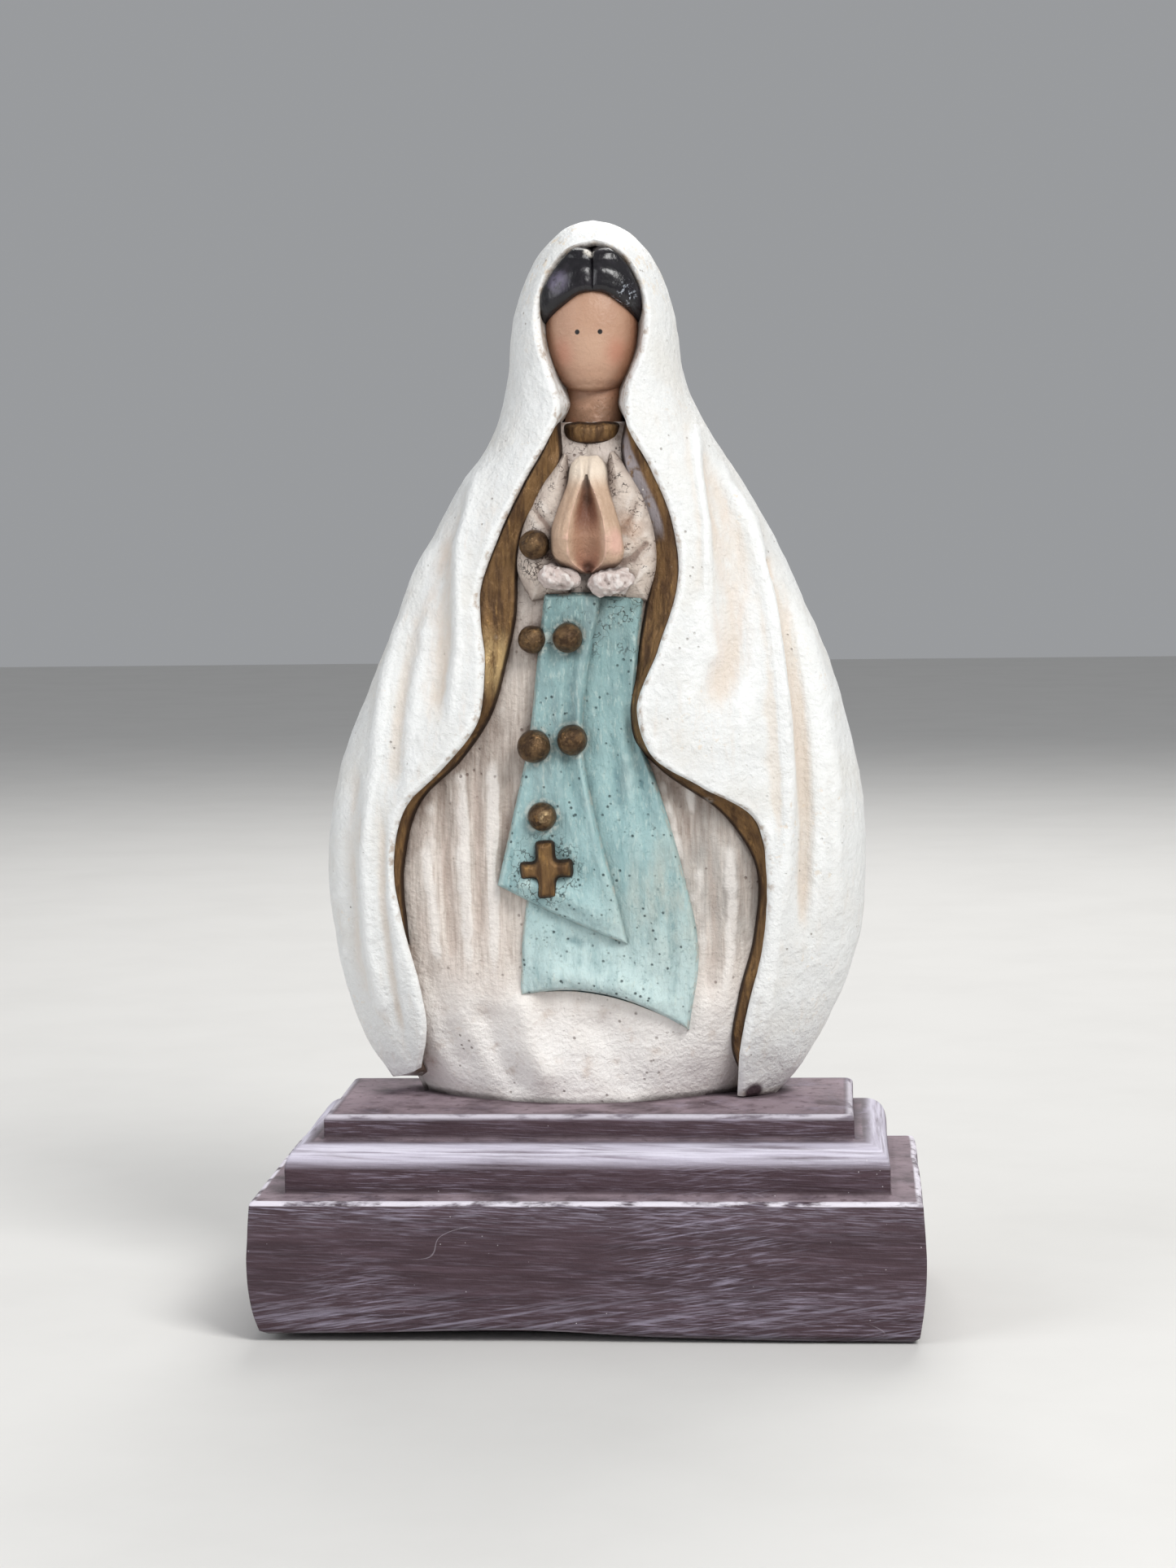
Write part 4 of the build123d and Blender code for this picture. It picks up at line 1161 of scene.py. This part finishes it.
def hair_lobe(name, side):
    """One lobe, from the parting round to the back of the head."""
    rows, across = 46, 64
    u = (1 - np.cos(math.pi * np.linspace(0, 1, rows))) / 2
    v = (1 - np.cos(math.pi * np.linspace(0, 1, across))) / 2
    uu, vv = np.meshgrid(u, v, indexing="ij")
    low = curve_through(vv, hairline)[..., 0]
    z = low + (124.58 - low) * uu
    start = -math.pi / 2 + 0.09
    turn = start + math.pi * vv if side > 0 else start - math.pi * vv
    to_line = (z - low) * 1.0
    to_parting = np.minimum(vv, 1 - vv) * math.pi * 5.0 * np.sqrt(np.clip(1 - uu ** 2, 0.02, 1))
    lift = rounded_edge(to_line, 1.8) * (0.6 + 0.4 * rounded_edge(to_parting, 1.3))
    lift[0] = 0
    swell = hair_thickness * lift * (1 + 0.04 * np.sin(5.0 * uu * math.pi + 6.0 * vv))
    outside = head_surface(z.ravel(), turn.ravel(), swell.ravel())
    outside[:, 2] += (1.15 * swell * uu).ravel()
    low_side, high_side = curve_through(outside[:, 2], hood_opening).T
    outside[:, 0] = np.clip(outside[:, 0], low_side, high_side)
    inside = head_surface(z.ravel(), turn.ravel(), np.where(lift.ravel() > 0, -0.4, 0.0))
    faces = grid_faces(rows, across)
    faces = faces + [[k + rows * across for k in reversed(face)] for face in faces] + rim_faces(rows, across)
    return make_piece(name, np.concatenate([outside, inside]), faces, spread=4)


hair_left = hair_lobe("hair_left_black", -1)
hair_right = hair_lobe("hair_right_black", 1)

jet = Finish("hair_black_gloss", tint(22, 20, 24), 0.24, 0.5)
jet.coat(tint(44, 40, 46), jet.noise(1.2, 0.45, 0.75, (1, 1, 0.4)), 0.7, 0.28)
# Painted reflection: a soft lilac patch on the left lobe.
jet.coat(tint(116, 108, 130), jet.both(jet.spot((-2.7, -3.8, 121.6), 0.5, 1.9), jet.noise(1.2, 0.30, 0.56)), 0.7,
         0.45)
# Painted highlight: white glints on the right lobe.
jet.coat(tint(196, 202, 212), jet.both(jet.spot((4.9, -3.2, 120.2), 0.3, 2.0), jet.noise(0.45, 0.54, 0.62)), 0.75)
jet.coat(tint(236, 230, 220), jet.both(jet.spot((0.7, -2.9, 125.0), 0.3, 0.9), jet.noise(0.7, 0.40, 0.52)), 0.85)
jet.raise_by(jet.noise(1.0, 0.3, 0.75, (1, 1, 0.4)), 0.05)
hair_paint = jet.done()
for lobe, node in ((hair_left, "hair_left"), (hair_right, "hair_right")):
    lobe.data.materials.append(hair_paint)
    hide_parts(node)
    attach(lobe, "root")

# ---------------------------------------------------------------- collar
# A short gilded band round the foot of the neck, a bean-shaped roll of clay.


def rounded_outline(corners, softness, count=220):
    """A closed line through corners with its corners eased."""
    corners = np.array(corners + corners[:1], float)
    runs = np.concatenate([[0], np.cumsum(np.linalg.norm(np.diff(corners, axis=0), axis=1))])
    t = np.linspace(0, runs[-1], count + 1)[:-1]
    line = np.column_stack([np.interp(t, runs, corners[:, k]) for k in (0, 1)])
    for _ in range(softness):
        line = (np.roll(line, 1, axis=0) + 2 * line + np.roll(line, -1, axis=0)) / 4
    return line


def star_patch(outline, rings):
    """A patch spread from the middle of a closed outline to the outline, ring by ring."""
    middle = outline.mean(axis=0)
    s = np.sin(np.linspace(0, math.pi / 2, rings))[::-1][:, None, None]
    return middle + (outline[None] - middle) * s


def star_piece(name, outline, under, proud, roll, rings=22, sunk=0.5, spread=4):
    """A small relief with a closed outline, such as a cross or a collar."""
    patch = star_patch(outline, rings)
    flat = patch.reshape(-1, 2)
    distance = nearest(flat, np.concatenate([outline, outline[:1]]))[0]
    distance[:len(outline)] = 0
    base = under(flat[:, 0], flat[:, 1])
    spots = np.column_stack([flat[:, 0], base * 0, flat[:, 1]])
    front = base + sunk * 0.5 - (proud + sunk * 0.5) * rounded_edge(distance, roll) - 0.06 * lumps(spots, 1.2, 71)
    back = np.where(distance == 0, front, base + sunk)
    masks = {"edge": np.exp(-(distance / 0.4) ** 2), "bare": distance * 0}
    return shell_piece(name, patch, front, back, masks, True, spread)


collar_corners = [(-2.9, 104.0), (-2.6, 105.2), (-0.8, 105.5), (0.8, 105.3), (2.4, 105.5), (4.2, 105.3), (4.5, 104.1),
                  (4.0, 103.1), (2.4, 102.8), (0.8, 102.7), (-0.8, 102.8), (-2.4, 103.1)]
collar = star_piece("collar_gilded", rounded_outline(collar_corners, 40),
                    lambda x, z: 1.2 - np.sqrt(np.clip(4.2 ** 2 - (x - 0.8) ** 2, 1, None)), 1.15, 1.1)
collar.data.materials.append(gold_paint)
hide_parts("collar")
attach(collar, "root")

# ---------------------------------------------------------------- hands and cuffs
# Two hands pressed together with an almond hollow between the palms, and a rough
# roll of cuff under each. Modelled as separate lumps of clay and pressed on.


def lump_points(centre, radii, lean, rough, seed, around=72, up=48):
    """A rough rounded lump, leaning sideways by an angle in degrees."""
    theta = np.linspace(0, math.pi, up)
    phi = np.linspace(0, 2 * math.pi, around + 1)[:-1]
    tt, pp = np.meshgrid(theta, phi, indexing="ij")
    ball = np.column_stack([(np.sin(tt) * np.cos(pp)).ravel(), (np.sin(tt) * np.sin(pp)).ravel(), np.cos(tt).ravel()])
    points = ball * np.array(radii)
    turn = math.radians(lean)
    x, z = points[:, 0].copy(), points[:, 2].copy()
    points[:, 0] = x * math.cos(turn) + z * math.sin(turn)
    points[:, 2] = z * math.cos(turn) - x * math.sin(turn)
    points = points + np.array(centre)
    return points + ball * (rough * lumps(points, 1.1, seed) + rough * 0.6 * lumps(points, 0.5, seed + 1))[:, None]


# Outline of each hand from the finger tips round to the wrist, and the seam where the palms meet.
hand_left_edge = [(-0.5, 101.5), (-1.4, 100.7), (-2.0, 98.2), (-3.1, 95.4), (-3.9, 92.6), (-3.9, 90.4), (-2.9, 88.7),
                  (-1.0, 87.8)]
hand_right_edge = [(1.6, 101.5), (2.5, 100.6), (3.1, 98.0), (4.0, 95.0), (4.7, 92.2), (4.9, 90.0), (4.1, 88.4),
                   (2.2, 87.6)]
palm_seam = [(0.5, 101.45), (0.55, 98.0), (0.6, 93.0), (0.6, 87.7)]
hand_depth = 5.4
almond = [(87.9, 0.4), (89.0, 1.6), (91.2, 2.2), (93.4, 2.05), (95.6, 1.5), (97.4, 0.85), (99.0, 0.2)]


def hand_piece(name, edge, side):
    """One hand in high relief: rounded at its outer edge, hollowed in a half almond at the seam."""
    patch = ruled(edge, palm_seam, 120, 60) if side < 0 else ruled(palm_seam, edge, 120, 60)
    flat = patch.reshape(-1, 2)
    outer = np.concatenate([patch[0], patch[:, 0 if side < 0 else -1][1:], patch[-1]])
    distance = nearest(flat, outer)[0]
    to_seam = np.abs(flat[:, 0] - curve_through(-flat[:, 1], [(-z, x) for x, z in palm_seam])[:, 0])
    half = curve_through(flat[:, 1], almond)[:, 0]
    within = np.clip(1 - (to_seam / np.maximum(half, 0.05)) ** 2, 0, 1)
    within = np.where((flat[:, 1] > 87.9) & (flat[:, 1] < 99.2), within, 0)
    base = gown_front(flat[:, 0], flat[:, 1])
    lean = np.interp(flat[:, 1], [87.6, 92, 101.4], [0.72, 1.0, 0.74])
    proud = hand_depth * lean * rounded_edge(distance, 2.6) ** 0.8
    sunk = 1.9 * within * np.clip(half / 1.2, 0, 1)
    seam_groove = 0.35 * np.exp(-(to_seam / 0.28) ** 2) * np.clip((flat[:, 1] - 97.6) / 1.5, 0, 1)
    fingers = 0.07 * np.cos((to_seam - half) * 2 * math.pi / 0.95) * np.clip((flat[:, 1] - 91) / 4, 0,
                                                                             1) * (within == 0)
    marks = np.column_stack([flat[:, 0], flat[:, 0] * 0, flat[:, 1]])
    front = base + 0.4 - proud + sunk + seam_groove + fingers * np.clip(distance / 1.2, 0, 1) + 0.10 * lumps(marks,
                                                                                                             1.0, 83)
    front = np.minimum(front, base + 0.6)
    return shell_piece(name, patch, front, base + 0.8, {"palm": within, "seam": np.exp(-(to_seam / 0.45) ** 2)})


hand_left = hand_piece("hand_left_painted", hand_left_edge, -1)
hand_right = hand_piece("hand_right_painted", hand_right_edge, 1)

palm = Finish("hands_cream_washed_and_shaded", tint(210, 181, 156), 0.46)
palm.coat(tint(196, 162, 138), palm.noise(1.2, 0.40, 0.68, (1, 1, 0.35)), 0.55)
palm.coat(tint(178, 146, 122), palm.both(palm.off(palm.level(96, 99)), palm.noise(0.8, 0.3, 0.6, (1, 1, 0.3))), 0.5)
palm.coat(tint(122, 84, 64), palm.both(palm.mask("hollow", 0.015, 0.12), palm.off(palm.mask("seam"))), 0.7)
# Painted shade in the almond hollow between the palms, in three coats, darkest in its middle.
palm.coat(tint(164, 122, 98), palm.mask("palm", 0.05, 0.8), 0.9)
palm.coat(tint(108, 62, 44), palm.both(palm.spot((0.6, -9.4, 95.2), 0.8, 3.4), palm.mask("palm", 0.2, 0.9)), 0.85)
palm.coat(tint(170, 118, 98), palm.both(palm.mask("palm", 0.2, 0.8), palm.off(palm.level(88.5, 91.5))), 0.6)
palm.coat(tint(246, 232, 214), palm.level(97.4, 99.8), 0.8)
# Painted highlight on the raised ridges of the hands.
palm.coat(tint(240, 196, 178), palm.both(palm.mask("hollow", -0.03, -0.14), palm.off(palm.mask("seam"))), 0.6)
palm.coat(tint(240, 190, 176), palm.spot((4.2, -9.5, 91.5), 0.6, 2.4), 0.6)
palm.coat(tint(214, 160, 142), palm.off(palm.level(87.6, 89.6)), 0.55)
# Painted shade, with some wash, where the hands meet the cuffs, the sleeves and each other.
palm.coat(tint(50, 34, 30), palm.crevice_wash_and_shade(1.2, 0.5, 1.0), 0.7)
palm.raise_by(palm.noise(0.5, 0.3, 0.75), 0.08)
palm_paint = palm.done()
for hand, node in ((hand_left, "hand_left"), (hand_right, "hand_right")):
    hand.data.materials.append(palm_paint)
    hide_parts(node)
    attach(hand, "root")

roll_white = Finish("cuff_white_rough", tint(222, 208, 202), 0.62)
roll_white.coat(tint(190, 168, 162), roll_white.noise(1.1, 0.42, 0.66), 0.6)
roll_white.coat(tint(104, 78, 70), roll_white.mask("hollow", 0.02, 0.12), 0.75)
# Painted highlight on the raised lumps of the cuffs.
roll_white.coat(tint(244, 238, 234), roll_white.mask("hollow", -0.02, -0.10), 0.7)
# Painted shade, with some wash, where the cuffs meet the hands and the bodice.
roll_white.coat(tint(60, 44, 40), roll_white.crevice_wash_and_shade(1.1, 0.45, 1.0), 0.7)
roll_white.raise_by(roll_white.noise(0.5, 0.3, 0.75), 0.15)
cuff_paint = roll_white.done()
for node, centre, radii, lean, seed in (("cuff_left", (-2.9, -8.0, 87.4), (2.4, 2.0, 1.5), 14, 91),
                                        ("cuff_right", (3.3, -8.0, 86.8), (2.75, 2.0, 1.65), -12, 95)):
    cuff = make_piece(f"{node}_rolled", lump_points(centre, radii, lean, 0.36, seed), grid_faces(48, 72, True),
                      spread=4)
    cuff.data.materials.append(cuff_paint)
    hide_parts(node)
    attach(cuff, "root")

# ---------------------------------------------------------------- rosary beads
# Six small balls of clay pressed into the sash and sleeve, each a little out of round.
# They are painted dark bronze, with the sash paint left pale in a ring round each.


def bead_tree():
    """Places a ball at each point by its radius and makes each a little uneven."""
    tree = bpy.data.node_groups.new("rosary_bead_balls", "GeometryNodeTree")
    for name, kind, value in (("Balls", "NodeSocketGeometry", None), ("Unevenness", "NodeSocketFloat", 0.00022),
                              ("Lump Size", "NodeSocketFloat", 0.0016), ("Rings", "NodeSocketInt", 26),
                              ("Paint", "NodeSocketMaterial", None)):
        socket = tree.interface.new_socket(name, in_out="INPUT", socket_type=kind)
        if value is not None:
            socket.default_value = value
    tree.interface.new_socket("Beads", in_out="OUTPUT", socket_type="NodeSocketGeometry")

    def add(kind, **settings):
        node = tree.nodes.new(kind)
        for name, value in settings.items():
            setattr(node, name, value)
        return node

    given, made = add("NodeGroupInput"), add("NodeGroupOutput")
    ball, put = add("GeometryNodeMeshUVSphere"), add("GeometryNodeInstanceOnPoints")
    real = add("GeometryNodeRealizeInstances")
    size = add("GeometryNodeInputNamedAttribute", data_type="FLOAT")
    size.inputs["Name"].default_value = "radius"
    ball.inputs["Radius"].default_value = 1.0
    tree.links.new(given.outputs["Rings"], ball.inputs["Rings"])
    tree.links.new(given.outputs["Rings"], ball.inputs["Segments"])
    tree.links.new(given.outputs["Balls"], put.inputs["Points"])
    tree.links.new(ball.outputs["Mesh"], put.inputs["Instance"])
    tree.links.new(size.outputs["Attribute"], put.inputs["Scale"])
    tree.links.new(put.outputs["Instances"], real.inputs["Geometry"])
    lump = add("ShaderNodeTexNoise")
    tree.links.new(add("GeometryNodeInputPosition").outputs["Position"], lump.inputs["Vector"])
    close = add("ShaderNodeMath", operation="DIVIDE")
    close.inputs[0].default_value = 1.0
    tree.links.new(given.outputs["Lump Size"], close.inputs[1])
    tree.links.new(close.outputs["Value"], lump.inputs["Scale"])
    centred = add("ShaderNodeMath", operation="SUBTRACT")
    centred.inputs[1].default_value = 0.5
    tree.links.new(lump.outputs["Fac"], centred.inputs[0])
    amount = add("ShaderNodeMath", operation="MULTIPLY")
    tree.links.new(centred.outputs["Value"], amount.inputs[0])
    tree.links.new(given.outputs["Unevenness"], amount.inputs[1])
    shift = add("ShaderNodeVectorMath", operation="SCALE")
    tree.links.new(add("GeometryNodeInputNormal").outputs["Normal"], shift.inputs["Vector"])
    tree.links.new(amount.outputs["Value"], shift.inputs["Scale"])
    pushed, smooth = add("GeometryNodeSetPosition"), add("GeometryNodeSetShadeSmooth")
    painted = add("GeometryNodeSetMaterial")
    tree.links.new(real.outputs["Geometry"], pushed.inputs["Geometry"])
    tree.links.new(shift.outputs["Vector"], pushed.inputs["Offset"])
    tree.links.new(pushed.outputs["Geometry"], smooth.inputs["Geometry"])
    tree.links.new(smooth.outputs["Geometry"], painted.inputs["Geometry"])
    tree.links.new(given.outputs["Paint"], painted.inputs["Material"])
    tree.links.new(painted.outputs["Geometry"], made.inputs["Beads"])
    return tree


bronze = Finish("bead_dark_bronze", tint(112, 88, 62), 0.30)
bronze.shader.inputs["Metallic"].default_value = 0.7
bronze.coat(tint(50, 34, 24), bronze.noise(1.1, 0.38, 0.64), 0.8)
bronze.coat(tint(146, 112, 70), bronze.noise(0.9, 0.55, 0.70, shift=4), 0.5, 0.3)
bronze.coat(tint(224, 196, 150), bronze.both(bronze.spot((-4.6, -10.7, 59.6), 0.3, 1.0),
                                             bronze.noise(0.8, 0.35, 0.6)), 0.85)
# Painted shade, with some wash, where the beads sit into the sash.
bronze.coat(tint(30, 20, 16), bronze.crevice_wash_and_shade(0.9, 0.45, 1.0), 0.75, 0.6)
bronze.raise_by(bronze.noise(0.4, 0.3, 0.75), 0.08)
bead_paint = bronze.done()

seats = bpy.data.meshes.new("bead_seats")
seats.from_pydata([[value * MM for value in bead[:3]] for bead in bead_places], [], [])
radius_layer = seats.attributes.new("radius", "FLOAT", "POINT")
radius_layer.data.foreach_set("value", np.array([bead[3] * MM for bead in bead_places], np.float32))
seat_object = bpy.data.objects.new("bead_seats", seats)
bpy.context.scene.collection.objects.link(seat_object)
balls = bead_tree()
modifier = seat_object.modifiers.new("balls", "NODES")
modifier.node_group = balls
paint_socket = next(item for item in balls.interface.items_tree if item.name == "Paint")
modifier[paint_socket.identifier] = bead_paint
bpy.context.view_layer.update()
beads_made = bpy.data.meshes.new_from_object(seat_object.evaluated_get(bpy.context.evaluated_depsgraph_get()))
bpy.data.objects.remove(seat_object)
beads_made.materials.clear()
beads_made.materials.append(bead_paint)
beads_made.polygons.foreach_set("material_index", [0] * len(beads_made.polygons))
beads = bpy.data.objects.new("rosary_beads_bronze", beads_made)
bpy.context.scene.collection.objects.link(beads)
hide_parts(*[f"rosary_bead_{number}" for number in range(1, len(bead_places) + 1)])
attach(beads, "root")

# ---------------------------------------------------------------- rosary cross
# A small plain cross pressed onto the sash below the last bead, with soft arms.

arm, bar, upright_arm = 3.15, 1.2, 3.45
tilt = math.radians(3)
cross_corners = [(-1.15, 0.95), (-bar, upright_arm), (bar, upright_arm), (1.15, 0.95), (arm, bar), (arm, -bar),
                 (1.15, -0.95), (bar + 0.1, -upright_arm), (-bar - 0.1, -upright_arm), (-1.15, -0.95), (-arm,
                                                                                                        -bar), (-arm,
                                                                                                                bar)]
turned = [(cross_centre[0] + x * math.cos(tilt) - z * math.sin(tilt),
           cross_centre[1] + x * math.sin(tilt) + z * math.cos(tilt))
          for x, z in cross_corners]
cross = star_piece("rosary_cross_gilded", rounded_outline(turned, 26), lambda x, z: gown_front(x, z) - 1.6, 1.35, 0.9,
                   26)
cross.data.materials.append(gold_paint)
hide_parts("rosary_cross")
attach(cross, "root")

# ---------------------------------------------------------------- locating dowel
# A short wooden pin, hidden inside, that fixes the figure to the plinth.

pin_wood = Finish("dowel_birch", tint(206, 172, 126), 0.7)
pin_wood.coat(tint(166, 128, 84), pin_wood.noise(0.6, 0.45, 0.65, (1, 1, 0.08)), 0.7)
pin_wood.raise_by(pin_wood.noise(0.5, 0.4, 0.7, (1, 1, 0.08)), 0.03)
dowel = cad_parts["locating_dowel"]
dowel.data.materials.clear()
dowel.data.materials.append(pin_wood.done())

# ---------------------------------------------------------------- studio
# A pale sweep of card to stand on, three soft lamps and the camera.
# The figure stands at the middle of the card with its front towards the camera.


def wash_card():
    """The matt card of the floor, with the faint mottle of its pulp."""
    card = Finish("studio_card", (0.72, 0.71, 0.69), 0.85)
    card.coat((0.66, 0.65, 0.63), card.noise(30, 0.3, 0.8), 0.5)
    return card.done()


floor_size = 3.0
bpy.ops.mesh.primitive_plane_add(size=floor_size, location=(0, 0, -0.0001))
floor = bpy.context.object
floor.name = "studio_floor"
floor.data.materials.append(wash_card())

world = bpy.data.worlds.new("studio_air")
bpy.context.scene.world = world
world.use_nodes = True
world.node_tree.nodes["Background"].inputs["Color"].default_value = (0.80, 0.82, 0.85, 1)
world.node_tree.nodes["Background"].inputs["Strength"].default_value = 0.40


def soft_lamp(name, place, aim, size, power, colour):
    """A square diffused lamp, aimed at a point on the figure."""
    lamp = bpy.data.lights.new(name, "AREA")
    lamp.size = size
    lamp.energy = power
    lamp.color = colour
    stand = bpy.data.objects.new(name, lamp)
    bpy.context.scene.collection.objects.link(stand)
    stand.location = place
    stand.rotation_euler = (Vector(aim) - Vector(place)).to_track_quat("-Z", "Y").to_euler()
    return stand


figure_aim = (0.0, 0.0, 0.07)
soft_lamp("lamp_right", (0.34, -0.42, 0.52), figure_aim, 0.26, 3.7, (1.0, 0.995, 0.98))
soft_lamp("lamp_left", (-0.50, -0.34, 0.30), figure_aim, 0.40, 1.35, (0.95, 0.97, 1.0))
soft_lamp("lamp_behind", (0.05, 0.48, 0.50), figure_aim, 0.35, 2.2, (1.0, 0.99, 0.97))

camera_place = (0.0288, -0.4124, 0.0984)
camera_yaw = math.radians(4.04)
camera_pitch = math.radians(4.95)
camera_roll = math.radians(-0.75)
camera_lens = 80.07

lens_axis = Vector((-math.sin(camera_yaw) * math.cos(camera_pitch),
                    math.cos(camera_yaw) * math.cos(camera_pitch), -math.sin(camera_pitch)))
level = Vector((math.cos(camera_yaw), math.sin(camera_yaw), 0))
upright = level.cross(lens_axis)
side_axis = level * math.cos(camera_roll) + upright * math.sin(camera_roll)
top_axis = upright * math.cos(camera_roll) - level * math.sin(camera_roll)
lens = bpy.data.cameras.new("studio_camera")
lens.lens = camera_lens
lens.sensor_width = 36.0
lens.clip_start = 0.01
camera = bpy.data.objects.new("studio_camera", lens)
bpy.context.scene.collection.objects.link(camera)
facing = Matrix((side_axis, top_axis, -lens_axis)).transposed()
camera.matrix_world = Matrix.Translation(camera_place) @ facing.to_4x4()
bpy.context.scene.camera = camera
bpy.context.scene.view_settings.view_transform = "Standard"
